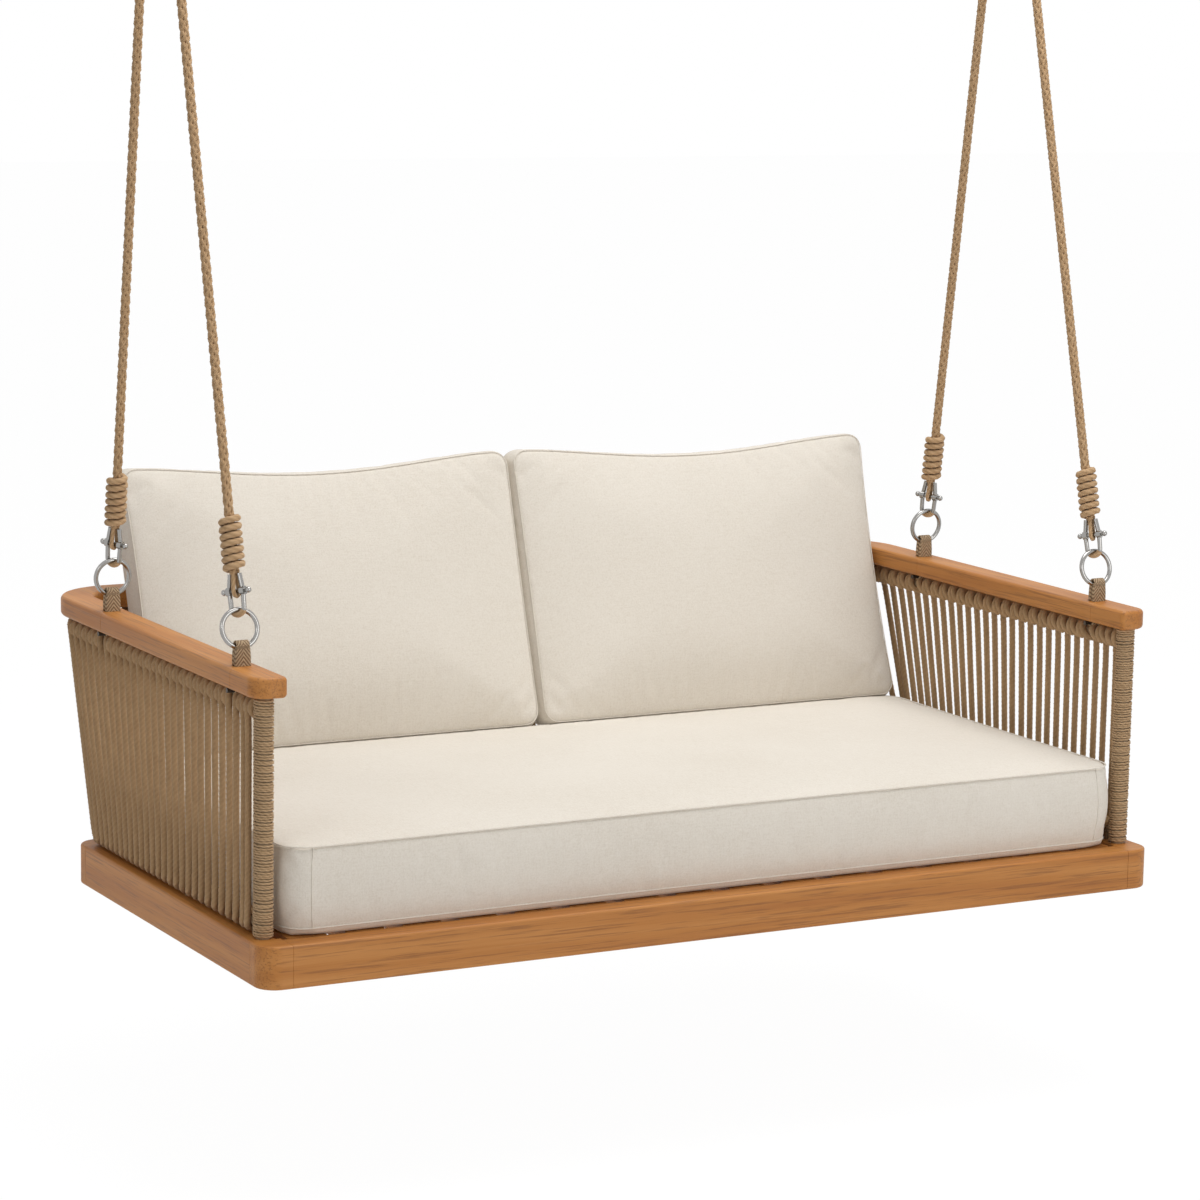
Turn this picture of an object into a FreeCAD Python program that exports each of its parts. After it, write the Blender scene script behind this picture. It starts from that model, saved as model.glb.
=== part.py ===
import FreeCAD, Part
import math
import os

Vec = FreeCAD.Vector

# Driving dimensions, in millimetres.
# Seat sizes are taken from the middle of the base's front edge, at its underside:
# X to the sitter's left hand seen from the front, Y towards the back, Z up.

# Base frame
base_width = 1700.0
base_depth = 824.0
base_height = 70.0
base_wall = 46.0
base_edge_round = 4.0
corner_block = 52.0
corner_radius = 36.0
joint_chamfer = 0.8
tenon_length = 30.0
tenon_width = 16.0
tenon_height = 40.0
tenon_clearance = 0.2
corner_tenon_gap = 1.0

# Slats and what carries them
slat_count = 16
slat_width = 68.0
slat_thickness = 20.0
slat_end_gap = 1.5
ledge_depth = 24.0
ledge_height = 26.0
bearer_width = 45.0
bearer_height = 30.0

# Top rail
rail_width = 58.0
rail_thickness = 34.0
rail_bottom = 456.0
rail_round = 7.0
rail_front = 36.0
rail_overhang_back = 161.0
rail_corner_radius = 120.0
nose_outer_radius = 30.0
nose_inner_radius = 9.0
joint_before_strap = 22.0
back_joint_run = 60.0
rail_tenon_width = 26.0
rail_tenon_height = 14.0
short_tenon_length = 11.0

# Front posts and their cord wrapping
post_diameter = 24.0
post_from_front = 66.0
post_socket = 10.0
socket_clearance = 0.15
bolt_diameter = 8.0
bolt_head_diameter = 13.0
bolt_head_height = 8.0
bolt_depth = 45.0
bolt_clearance = 0.3
wrap_turns = 22
wrap_band = 15.9
wrap_diameter = 34.4
wrap_steps = 12
wrap_clearance = 0.15
wrap_end_gap = 0.5

# Coated rods that the cords are hitched on
rod_diameter = 16.0
rod_cord_room = 1.0
lower_rod_radius = 40.0
standoff_diameter = 10.0
rod_start_behind_post = 22.0
standoff_inset = 6.0
rear_post_diameter = 14.0

# Hitched panel cords
cord_diameter = 11.0
cord_sides = 6
cord_clearance = 0.7
cord_tail = 6.0
corner_cord_room = 1.2
strand_spacing = 29.5
strands_before_strap = 2
corner_upper_angles = (8.0, 31.0, 59.0, 82.0)
corner_lower_angles = (1.0, 20.0, 70.0, 89.0)
corner_foot_end = 2.0
back_strands = 49

# Hangers: strap, ring, shackle, rope
strap_from_front = 155.0
strap_back_inset = 107.0
strap_width = 26.0
strap_thickness = 3.0
strap_inner_radius = 5.4
strap_slot_clearance = 0.4
anchor_pin_diameter = 8.0
anchor_pin_length = 50.0
anchor_pin_gap = 0.2
ring_wire = 8.0
ring_mean_radius = 30.0
ring_above_rail = 29.0
ring_rise_at_strap = 3.0
link_clearance = 0.3
shackle_turn = -57.0
bow_wire = 8.0
bow_bottom_radius = 12.0
bow_half_gap = 13.0
bow_top_half_gap = 8.8
bow_top_room = 0.6
bow_boss_diameter = 14.0
bow_boss_length = 8.0
shackle_pin_diameter = 7.0
shackle_pin_clearance = 0.15
shackle_knob_diameter = 10.0
shackle_knob_half_span = 23.0
pin_above_bow = 37.0
rope_diameter = 15.5
eye_diameter = 7.5
eye_clearance = 0.3
upper_eye_clearance = 1.0
eye_leg_offset = 3.9
eye_leg_length = 28.0
whip_turns = 7
whip_cord = 11.4
whip_pitch = 12.0
whip_clearance = 0.3

# Ceiling hanger
pivot_from_front = 518.5
pivot_above_base = 1990.0
pivot_below_ceiling = 44.0
plate_length = 120.0
plate_width = 56.0
plate_thickness = 6.0
bolt_hole_spacing = 84.0
bolt_hole_diameter = 9.0
ear_gap = 22.0
ear_thickness = 6.0
ear_round = 15.0
ear_root_width = 52.0
swing_pin_diameter = 10.0
swing_pin_head = 16.0
swing_pin_head_height = 5.0
ear_bore_clearance = 0.05
bush_running_clearance = 0.08
bush_diameter = 16.0
bush_side_gap = 1.0
boss_diameter = 26.0
hanger_plate_thickness = 10.0
hanger_hole_below = 110.0
hanger_hole_diameter = 14.0
hanger_corner_radius = 13.5

# Cushions
seat_cushion_side_gap = 53.0
seat_cushion_front = 45.0
seat_cushion_back_gap = 52.0
seat_cushion_height = 160.0
seat_crown = 16.0
seat_corner_radius = 60.0
seat_side_draw = 6.0
cushion_gap = 0.5
cushion_wall = 14.0
back_cushion_side_gap = 83.0
back_cushion_height = 500.0
back_cushion_thickness = 106.0
back_cushion_inset = 75.0
back_cushion_lean = 17.5
back_cushion_parting = 7.0
back_cushion_shift = 15.0
back_cushion_settle = 28.0
back_crown = 18.0
back_corner_radius = 34.0
back_top_draw = 24.0
back_side_draw = 10.0

# Places worked out from the sizes above
side_x = base_width / 2
rail_x = side_x - rail_width / 2
rail_top = rail_bottom + rail_thickness
rail_back = base_depth + rail_overhang_back
corner_tenon = corner_block - (base_wall + tenon_width) / 2 - corner_tenon_gap
rod_radius = rod_diameter / 2
hitch_radius = rod_radius + cord_clearance + cord_diameter / 2
hitch_reach = hitch_radius + cord_diameter / 2
upper_rod_z = rail_bottom - hitch_reach - rod_cord_room
lower_rod_z = base_height + hitch_reach + rod_cord_room
upper_rod_radius = rail_corner_radius - rail_width / 2
upper_rod_back = rail_back - rail_width / 2
lower_rod_back = base_depth - rail_width / 2
rod_start = post_from_front + rod_start_behind_post
strap_back_from_front = base_depth - strap_back_inset
strap_run = strap_back_from_front - strap_from_front
strands_between_straps = int(strap_run / strand_spacing)
strand_pitch = strap_run / strands_between_straps
first_strand = strap_from_front - strand_pitch * (strands_before_strap - 0.5)
pivot = Vec(0, pivot_from_front, pivot_above_base)
ceiling_z = pivot_above_base + pivot_below_ceiling
seat_cushion_width = base_width - 2 * seat_cushion_side_gap
seat_cushion_back = base_depth - seat_cushion_back_gap
seat_top = base_height + cushion_gap + seat_cushion_height
back_cushion_width = side_x - back_cushion_side_gap - back_cushion_parting
back_cushion_front = base_depth - back_cushion_inset
to_part_frame = Vec(0, -pivot_from_front, -ceiling_z)

os.makedirs("parts", exist_ok=True)


def save(node, *solids):
    shape = solids[0].copy() if len(solids) == 1 else Part.makeCompound(list(solids))
    shape.translate(to_part_frame)
    shape.exportStep("parts/" + node + ".step")
    print(node, len(shape.Solids), "solid(s)", round(shape.Volume), "mm3", "valid", shape.isValid())


def mirrored(solid):
    return solid.mirror(Vec(0, 0, 0), Vec(1, 0, 0))


def joined(first, *others):
    return first.fuse(list(others)).removeSplitter()


def box_between(low, high):
    return Part.makeBox(high[0] - low[0], high[1] - low[1], high[2] - low[2], Vec(*low))


def rounded_face(width, height, radius):
    # A rectangle with round corners, centred on the origin in the XY plane.
    a, b, r = width / 2, height / 2, radius
    s = r * (1 - math.sqrt(0.5))
    edges = []
    for turn, half_w, half_h in ((0, a, b), (90, b, a), (180, a, b), (270, b, a)):
        side = Part.LineSegment(Vec(half_w, -half_h + r, 0), Vec(half_w, half_h - r, 0)).toShape()
        arc = Part.Arc(Vec(half_w, half_h - r, 0), Vec(half_w - s, half_h - s, 0),
                       Vec(half_w - r, half_h, 0)).toShape()
        for edge in (side, arc):
            edge.rotate(Vec(0, 0, 0), Vec(0, 0, 1), turn)
            edges.append(edge)
    return Part.Face(Part.Wire(edges))


def chamfer_ends(bar, axis, places):
    # Breaks the edges of the end faces, so that a fine line shows where two pieces meet.
    edges = []
    for edge in bar.Edges:
        spread = [getattr(edge.BoundBox, axis + "Min"), getattr(edge.BoundBox, axis + "Max")]
        if any(abs(spread[0] - p) < 1e-4 and abs(spread[1] - p) < 1e-4 for p in places):
            edges.append(edge)
    return bar.makeChamfer(joint_chamfer, edges)


def bar_along_x(x0, x1, y_mid, z_mid, depth, height, radius):
    bar = rounded_face(depth, height, radius).extrude(Vec(0, 0, x1 - x0))
    bar.rotate(Vec(0, 0, 0), Vec(1, 1, 1), 120)
    bar.translate(Vec(x0, y_mid, z_mid))
    return chamfer_ends(bar, "X", (x0, x1))


def bar_along_y(y0, y1, x_mid, z_mid, width, height, radius):
    bar = rounded_face(width, height, radius).extrude(Vec(0, 0, y1 - y0))
    bar.rotate(Vec(0, 0, 0), Vec(1, 0, 0), 90)
    bar.translate(Vec(x_mid, y1, z_mid))
    return chamfer_ends(bar, "Y", (y0, y1))


def rod(start, end, diameter):
    run = end - start
    return Part.makeCylinder(diameter / 2, run.Length, start, run)


def swept_rod(edges, diameter):
    # A round bar along a wire of tangent lines and arcs.
    wire = Part.Wire(edges)
    start = wire.OrderedVertexes[0].Point
    first = wire.OrderedEdges[0]
    at = first.FirstParameter
    if (first.valueAt(at) - start).Length > 1e-6:
        at = first.LastParameter
    heading = first.tangentAt(at)
    section = Part.Wire([Part.Circle(start, heading, diameter / 2).toShape()])
    return wire.makePipeShell([section], True, False)


def line_edge(a, b):
    return Part.LineSegment(a, b).toShape()


def arc_edge(a, through, b):
    return Part.Arc(a, through, b).toShape()


def faceted_cord(points, diameter, sides):
    # A cord with flat sides whose corners are mitred, for strands that repeat many times.
    # A flat side faces the way of the first bend, so the cord is no thicker there than its diameter.
    runs = [(b - a).normalize() for a, b in zip(points, points[1:])]
    side_on = runs[1] - runs[0] * runs[1].dot(runs[0])
    side_on.normalize()
    up_on = side_on.cross(runs[0])
    radius = diameter / 2 / math.cos(math.pi / sides)
    ring = []
    for k in range(sides):
        angle = 2 * math.pi * (k + 0.5) / sides
        ring.append(points[0] + side_on * (radius * math.cos(angle)) + up_on * (radius * math.sin(angle)))
    rings = [ring]
    for i, run in enumerate(runs):
        corner = points[i + 1]
        normal = run + runs[i + 1] if i + 1 < len(runs) else Vec(run)
        ring = [p + run * ((corner - p).dot(normal) / run.dot(normal)) for p in ring]
        rings.append(ring)
    faces = [Part.Face(Part.makePolygon(rings[0] + rings[0][:1]))]
    for near, far in zip(rings, rings[1:]):
        for k in range(sides):
            n = (k + 1) % sides
            faces.append(Part.Face(Part.makePolygon([near[k], near[n], far[n], far[k], near[k]])))
    faces.append(Part.Face(Part.makePolygon(rings[-1] + rings[-1][:1])))
    return Part.makeSolid(Part.makeShell(faces))


def half_way_on_arc(start, heading, end):
    chord = end - start
    along = Vec(chord).normalize()
    across = heading - along * heading.dot(along)
    bend = heading.getAngle(along)
    return start + chord * 0.5 + across.normalize() * (chord.Length / 2 * math.tan(bend / 2))


def biarc(p0, t0, p1, t1):
    # Two arcs that leave p0 along t0 and reach p1 along t1.
    v = p1 - p0
    t = t0 + t1
    k = 2 * (1 - t0.dot(t1))
    vt = v.dot(t)
    d = (math.sqrt(vt * vt + k * v.dot(v)) - vt) / k
    middle = (p0 + p1 + (t0 - t1) * d) * 0.5
    mid_heading = (middle - p0 - t0 * d).normalize()
    first = arc_edge(p0, half_way_on_arc(p0, t0, middle), middle)
    second = arc_edge(middle, half_way_on_arc(middle, mid_heading, p1), p1)
    return [first, second]


def helix_point(radius, pitch, angle):
    return Vec(radius * math.cos(angle), radius * math.sin(angle), pitch * angle / (2 * math.pi))


def helix_heading(radius, pitch, angle):
    return Vec(-radius * math.sin(angle), radius * math.cos(angle), pitch / (2 * math.pi)).normalize()


def winding(radius, pitch, turns, section, end_run):
    # One unbroken cord wound round the Z axis in quarter turns, with short straight ends.
    quarter = math.pi / 2
    angles = [quarter * k for k in range(4 * turns + 1)]
    places = [helix_point(radius, pitch, a) for a in angles]
    headings = [helix_heading(radius, pitch, a) for a in angles]
    edges = [line_edge(places[0] - headings[0] * end_run, places[0])]
    for k in range(4 * turns):
        edges += biarc(places[k], headings[k], places[k + 1], headings[k + 1])
    edges.append(line_edge(places[-1], places[-1] + headings[-1] * end_run))
    start = places[0] - headings[0] * end_run
    outward = Vec(places[0].x, places[0].y, 0).normalize()
    profile = Part.Wire([section(start, headings[0], outward)])
    return Part.Wire(edges).makePipeShell([profile], True, False)


def least_self_gap(radius, pitch, turns, across):
    # The smallest distance between turns that pass each other, less the cord's own size.
    per_turn = 16
    points = [helix_point(radius, pitch, 2 * math.pi * k / per_turn) for k in range(per_turn * turns + 1)]
    least = min((points[j] - points[i]).Length
                for i in range(len(points)) for j in range(i + per_turn // 2, len(points)))
    return least - across


def cord_section(diameter):
    return lambda at, heading, outward: Part.Circle(at, heading, diameter / 2).toShape()


def wound_band(inner, outer, width, pitch, turns):
    # A flat band wound round the Z axis, lofted through its cross-sections with straight sides.
    sections = []
    for k in range(wrap_steps * turns + 1):
        angle = 2 * math.pi * k / wrap_steps
        z = pitch * k / wrap_steps
        corners = []
        low, high = z - width / 2, z + width / 2
        for radius, level in ((inner, low), (outer, low), (outer, high), (inner, high)):
            corners.append(Vec(radius * math.cos(angle), radius * math.sin(angle), level))
        sections.append(Part.makePolygon(corners + corners[:1]))
    return Part.makeLoft(sections, True, True)


def build_base():
    mid = base_height / 2
    half = side_x - corner_block
    wall_mid = base_wall / 2
    tenon_low = mid - tenon_height / 2
    ledge_top = base_height - slat_thickness

    def tenon(x0, x1, y_mid, grow):
        low = (x0 - grow, y_mid - tenon_width / 2 - grow, tenon_low - grow)
        high = (x1 + grow, y_mid + tenon_width / 2 + grow, tenon_low + tenon_height + grow)
        return box_between(low, high)

    def tenon_y(y0, y1, x_mid, grow):
        low = (x_mid - tenon_width / 2 - grow, y0 - grow, tenon_low - grow)
        high = (x_mid + tenon_width / 2 + grow, y1 + grow, tenon_low + tenon_height + grow)
        return box_between(low, high)

    for node, y_mid, inward in (("front", wall_mid, 1), ("back", base_depth - wall_mid, -1)):
        rail = bar_along_x(-half, half, y_mid, mid, base_wall, base_height, base_edge_round)
        inner = y_mid + inward * wall_mid
        edge = inner + inward * ledge_depth
        ledge = box_between((-half, min(inner, edge), ledge_top - ledge_height),
                            (half, max(inner, edge), ledge_top))
        ends = [tenon(half, half + corner_tenon, y_mid, 0), tenon(-half - corner_tenon, -half, y_mid, 0)]
        save("base_rail_" + node, joined(rail, ledge, *ends))

    y0, y1 = corner_block, base_depth - corner_block
    x_mid = side_x - wall_mid
    rail = bar_along_y(y0, y1, x_mid, mid, base_wall, base_height, base_edge_round)
    ends = [tenon_y(y1, y1 + corner_tenon, x_mid, 0), tenon_y(y0 - corner_tenon, y0, x_mid, 0)]
    rail = joined(rail, *ends)
    bolt_way = rod(Vec(rail_x, post_from_front, 0), Vec(rail_x, post_from_front, base_height),
                   bolt_diameter + 2 * bolt_clearance)
    head_way = rod(Vec(rail_x, post_from_front, 0), Vec(rail_x, post_from_front, bolt_head_height),
                   bolt_head_diameter + 2 * bolt_clearance)
    rail = rail.cut(bolt_way).cut(head_way)
    rail = rail.cut(bearer(tenon_clearance))
    save("base_rail_right", rail)
    save("base_rail_left", mirrored(rail))

    # A corner block is square inside and round outside, with a mortise in both inner faces.
    block = Part.makeBox(corner_block, corner_block, base_height, Vec(side_x - corner_block, 0, 0))
    outer = [e for e in block.Edges if abs(e.BoundBox.XMin - side_x) < 1e-4 and e.BoundBox.YMax < 1e-4
             and e.BoundBox.ZLength > 1]
    block = block.makeFillet(corner_radius, outer)
    rim = [e for e in block.Edges if e.BoundBox.ZLength < 1e-4
           and (e.BoundBox.YMin < corner_radius / 2 or e.BoundBox.XMax > side_x - corner_radius / 2)
           and not on_joint(e)]
    block = block.makeFillet(base_edge_round, rim)
    mortise_x = tenon(half, half + corner_tenon, wall_mid, tenon_clearance)
    mortise_y = tenon_y(corner_block - corner_tenon, corner_block, x_mid, tenon_clearance)
    block = block.cut(mortise_x).cut(mortise_y)
    back_block = block.mirror(Vec(0, base_depth / 2, 0), Vec(0, 1, 0))
    save("base_corner_right_front", block)
    save("base_corner_left_front", mirrored(block))
    save("base_corner_right_back", back_block)
    save("base_corner_left_back", mirrored(back_block))


def on_joint(edge):
    box = edge.BoundBox
    at_rail = abs(box.XMax - (side_x - corner_block)) < 1e-4
    at_side = abs(box.YMin - corner_block) < 1e-4
    return at_rail or at_side


def bearer(grow):
    # The cross bearer under the slats, let into the side rails.
    reach = side_x - base_wall + tenon_length / 2
    y_mid = base_depth / 2
    top = base_height - slat_thickness
    low = (-reach - grow, y_mid - bearer_width / 2 - grow, top - bearer_height - grow)
    high = (reach + grow, y_mid + bearer_width / 2 + grow, top + grow)
    return box_between(low, high)


def build_slats():
    y0, y1 = base_wall + slat_end_gap, base_depth - base_wall - slat_end_gap
    span = base_width - 2 * base_wall
    step = span / slat_count
    z0 = base_height - slat_thickness
    slats = []
    for k in range(slat_count):
        x_mid = -span / 2 + step * (k + 0.5)
        slats.append(box_between((x_mid - slat_width / 2, y0, z0), (x_mid + slat_width / 2, y1, base_height)))
    save("seat_slats", *slats)
    save("center_bearer", bearer(0))


def strap_slot(y):
    half_w = strap_width / 2 + strap_slot_clearance
    half_t = strap_inner_radius + strap_thickness + strap_slot_clearance
    return box_between((rail_x - half_w, y - half_t, rail_bottom - 1),
                       (rail_x + half_w, y + half_t, rail_top + 1))


def build_top_rail():
    z_mid = rail_bottom + rail_thickness / 2
    outer, inner = side_x, side_x - rail_width
    front_joint = strap_from_front - joint_before_strap
    back_joint = strap_back_from_front - joint_before_strap
    arc_start = rail_back - rail_corner_radius
    back_joint_x = side_x - rail_corner_radius - back_joint_run

    def tenon(y0, y1, grow):
        low = (rail_x - rail_tenon_width / 2 - grow, y0, z_mid - rail_tenon_height / 2 - grow)
        high = (rail_x + rail_tenon_width / 2 + grow, y1, z_mid + rail_tenon_height / 2 + grow)
        return box_between(low, high)

    # The nose: outer front corner well rounded, inner one less, top and bottom edges soft.
    ro, ri = nose_outer_radius, nose_inner_radius
    so, si = ro * (1 - math.sqrt(0.5)), ri * (1 - math.sqrt(0.5))
    z = rail_bottom
    outline = [
        line_edge(Vec(outer, front_joint, z), Vec(outer, rail_front + ro, z)),
        arc_edge(Vec(outer, rail_front + ro, z), Vec(outer - so, rail_front + so, z),
                 Vec(outer - ro, rail_front, z)),
        line_edge(Vec(outer - ro, rail_front, z), Vec(inner + ri, rail_front, z)),
        arc_edge(Vec(inner + ri, rail_front, z), Vec(inner + si, rail_front + si, z),
                 Vec(inner, rail_front + ri, z)),
        line_edge(Vec(inner, rail_front + ri, z), Vec(inner, front_joint, z)),
        line_edge(Vec(inner, front_joint, z), Vec(outer, front_joint, z)),
    ]
    nose = Part.Face(Part.Wire(outline)).extrude(Vec(0, 0, rail_thickness))
    soft = [e for e in nose.Edges if e.BoundBox.ZLength < 1e-4 and e.BoundBox.YMin < front_joint - 1e-4]
    nose = nose.makeFillet(rail_round, soft)
    nose = chamfer_ends(nose, "Y", (front_joint,))
    nose = nose.cut(tenon(front_joint - tenon_length - tenon_clearance, front_joint, tenon_clearance))
    socket_mouth = Vec(rail_x, post_from_front, rail_bottom)
    socket = rod(socket_mouth, socket_mouth + Vec(0, 0, post_socket),
                 post_diameter + 2 * socket_clearance)
    nose = nose.cut(socket)
    save("rail_nose_right", nose)
    save("rail_nose_left", mirrored(nose))

    arm = bar_along_y(front_joint, back_joint, rail_x, z_mid, rail_width, rail_thickness, rail_round)
    arm = joined(arm, tenon(front_joint - tenon_length, front_joint, 0),
                 tenon(back_joint, back_joint + short_tenon_length, 0))
    arm = arm.cut(strap_slot(strap_from_front))
    save("arm_rail_right", arm)
    save("arm_rail_left", mirrored(arm))

    # The back corner: a straight run, a quarter turn and a short run along the back.
    run = bar_along_y(back_joint, arc_start, rail_x, z_mid, rail_width, rail_thickness, rail_round)
    centre = Vec(side_x - rail_corner_radius, arc_start, z_mid)
    section = rounded_face(rail_width, rail_thickness, rail_round)
    section.rotate(Vec(0, 0, 0), Vec(1, 0, 0), 90)
    section.translate(Vec(rail_x, arc_start, z_mid))
    turn = section.revolve(centre, Vec(0, 0, 1), 90)
    y_mid = rail_back - rail_width / 2
    short = bar_along_x(back_joint_x, side_x - rail_corner_radius, y_mid, z_mid,
                        rail_width, rail_thickness, rail_round)
    plain_run = rounded_face(rail_width, rail_thickness, rail_round).extrude(Vec(0, 0, 2 * joint_chamfer))
    plain_run.rotate(Vec(0, 0, 0), Vec(1, 0, 0), 90)
    plain_run.translate(Vec(rail_x, arc_start, z_mid))
    plain_short = rounded_face(rail_width, rail_thickness, rail_round).extrude(Vec(0, 0, 2 * joint_chamfer))
    plain_short.rotate(Vec(0, 0, 0), Vec(1, 1, 1), 120)
    plain_short.translate(Vec(side_x - rail_corner_radius - 2 * joint_chamfer, y_mid, z_mid))
    corner = joined(run, plain_run, turn, plain_short, short)
    corner = corner.cut(strap_slot(strap_back_from_front))
    corner = corner.cut(tenon(back_joint, back_joint + short_tenon_length + tenon_clearance, tenon_clearance))
    mortise_end = back_joint_x + tenon_length + tenon_clearance
    corner = corner.cut(back_tenon(back_joint_x, mortise_end, tenon_clearance))
    save("rail_corner_right", corner)
    save("rail_corner_left", mirrored(corner))

    back = bar_along_x(-back_joint_x, back_joint_x, y_mid, z_mid, rail_width, rail_thickness, rail_round)
    ends = [back_tenon(back_joint_x, back_joint_x + tenon_length, 0)]
    ends.append(mirrored(ends[0]))
    save("back_rail", joined(back, *ends))


def back_tenon(x0, x1, grow):
    y_mid = rail_back - rail_width / 2
    z_mid = rail_bottom + rail_thickness / 2
    low = (x0, y_mid - rail_tenon_width / 2 - grow, z_mid - rail_tenon_height / 2 - grow)
    high = (x1, y_mid + rail_tenon_width / 2 + grow, z_mid + rail_tenon_height / 2 + grow)
    return box_between(low, high)


def build_posts():
    foot = Vec(rail_x, post_from_front, base_height)
    head = Vec(rail_x, post_from_front, rail_bottom + post_socket)
    bolt_top = base_height + bolt_depth
    post = rod(foot, head, post_diameter)
    bore_end = Vec(rail_x, post_from_front, bolt_top + bolt_clearance)
    post = post.cut(rod(foot, bore_end, bolt_diameter + 2 * bolt_clearance))
    save("front_post_right", post)
    save("front_post_left", mirrored(post))

    shank = rod(Vec(rail_x, post_from_front, 0), Vec(rail_x, post_from_front, bolt_top), bolt_diameter)
    under_head = Vec(rail_x, post_from_front, bolt_clearance)
    bolt_head = rod(under_head, Vec(rail_x, post_from_front, bolt_head_height), bolt_head_diameter)
    shank = shank.cut(rod(Vec(rail_x, post_from_front, 0), under_head, bolt_head_diameter))
    bolt = joined(bolt_head, shank)
    save("post_bolts", bolt, mirrored(bolt))

    # The wrapping is wound as a band, each turn standing for three of the thin cord's.
    inner = (post_diameter / 2 + wrap_clearance) / math.cos(math.pi / wrap_steps)
    height = rail_bottom - base_height - wrap_band - 2 * wrap_end_gap
    pitch = height / wrap_turns
    wrap = wound_band(inner, wrap_diameter / 2, wrap_band, pitch, wrap_turns)
    wrap.translate(Vec(rail_x, post_from_front, base_height + wrap_end_gap + wrap_band / 2))
    print("post wrap least gap", round(least_self_gap(inner, pitch, wrap_turns, wrap_band), 2), "mm")
    save("post_wrap_right", wrap)
    save("post_wrap_left", mirrored(wrap))


def on_lower_rod(y):
    # The lower rod's straight run is shorter than the upper one's, so places along it close up.
    upper_run = upper_rod_back - upper_rod_radius - first_strand
    lower_run = lower_rod_back - lower_rod_radius - first_strand
    return first_strand + (y - first_strand) * lower_run / upper_run


def rod_path(z, back, radius):
    # One side's rod: along the arm, round the back corner.
    arc_start = back - radius
    centre = Vec(rail_x - radius, arc_start, z)
    diagonal = Vec(1, 1, 0).normalize() * radius
    middle = centre + diagonal
    run = line_edge(Vec(rail_x, rod_start, z), Vec(rail_x, arc_start, z))
    turn = arc_edge(Vec(rail_x, arc_start, z), middle, Vec(rail_x - radius, back, z))
    return [run, turn], middle


def build_rods():
    upper, upper_middle = rod_path(upper_rod_z, upper_rod_back, upper_rod_radius)
    lower, lower_middle = rod_path(lower_rod_z, lower_rod_back, lower_rod_radius)
    standoff_y = rod_start + standoff_inset
    middle_y = strap_from_front + strand_pitch * (strands_between_straps // 2)
    pieces = [swept_rod(lower, rod_diameter)]
    for y in (standoff_y, middle_y):
        pieces.append(rod(Vec(rail_x, y, upper_rod_z), Vec(rail_x, y, rail_bottom), standoff_diameter))
        foot = Vec(rail_x, on_lower_rod(y), base_height)
        pieces.append(rod(foot, Vec(foot.x, foot.y, lower_rod_z), standoff_diameter))
    lean = upper_middle - lower_middle
    reach = lean * (hitch_reach * 2 / lean.z)
    rear_post = rod(lower_middle - reach, upper_middle + reach, rear_post_diameter)
    between = box_between((0, 0, base_height), (base_width, 2 * rail_back, rail_bottom))
    rear_post = rear_post.common(between)
    frame = joined(swept_rod(upper, rod_diameter), *pieces, rear_post)
    save("side_frame_right", frame)
    save("side_frame_left", mirrored(frame))

    bars = []
    for z, back, radius, seat_z in ((upper_rod_z, upper_rod_back, upper_rod_radius, rail_bottom),
                                    (lower_rod_z, lower_rod_back, lower_rod_radius, base_height)):
        half = rail_x - radius
        bar = rod(Vec(-half, back, z), Vec(half, back, z), rod_diameter)
        stands = []
        step = 2 * (rail_x - upper_rod_radius) / back_strands
        for k in (-back_strands // 4 + 1, 0, back_strands // 4):
            x = step * (k + 0.5) * half / (rail_x - upper_rod_radius)
            stands.append(rod(Vec(x, back, min(z, seat_z)), Vec(x, back, max(z, seat_z)), standoff_diameter))
        bars.append(joined(bar, *stands))
    save("back_bars", *bars)


def strand(top, bottom, top_out, bottom_out, room):
    # Over the upper rod, down its outer side, under the lower rod; both tails end inside.
    # A corner strand has room to clear the bent rod, and its foot ends under the tight lower bend.
    r = hitch_radius
    wide = r + room
    up = Vec(0, 0, 1)
    down = (bottom - top).normalize()
    level = up.cross(top_out + bottom_out)
    off = level.cross(down).normalize()
    if off.dot(top_out) < 0:
        off = off * -1
    run_top = top + off * wide + down * ((r - off.z * wide) / down.z)
    run_bottom = bottom + off * wide + down * ((-r - off.z * wide) / down.z)
    if not room:
        # A strand that leans along its rods still leaves each one square to it.
        level.normalize()
        run_top -= level * (run_top - top).dot(level)
        run_bottom -= level * (run_bottom - bottom).dot(level)
    route = [
        top - top_out * wide - up * cord_tail,
        top - top_out * wide + up * r,
        run_top,
        run_bottom,
    ]
    if room:
        route.append(bottom + bottom_out * corner_foot_end - up * r)
    else:
        route += [bottom - bottom_out * r - up * r, bottom - bottom_out * r + up * cord_tail]
    return faceted_cord(route, cord_diameter, cord_sides)


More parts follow.
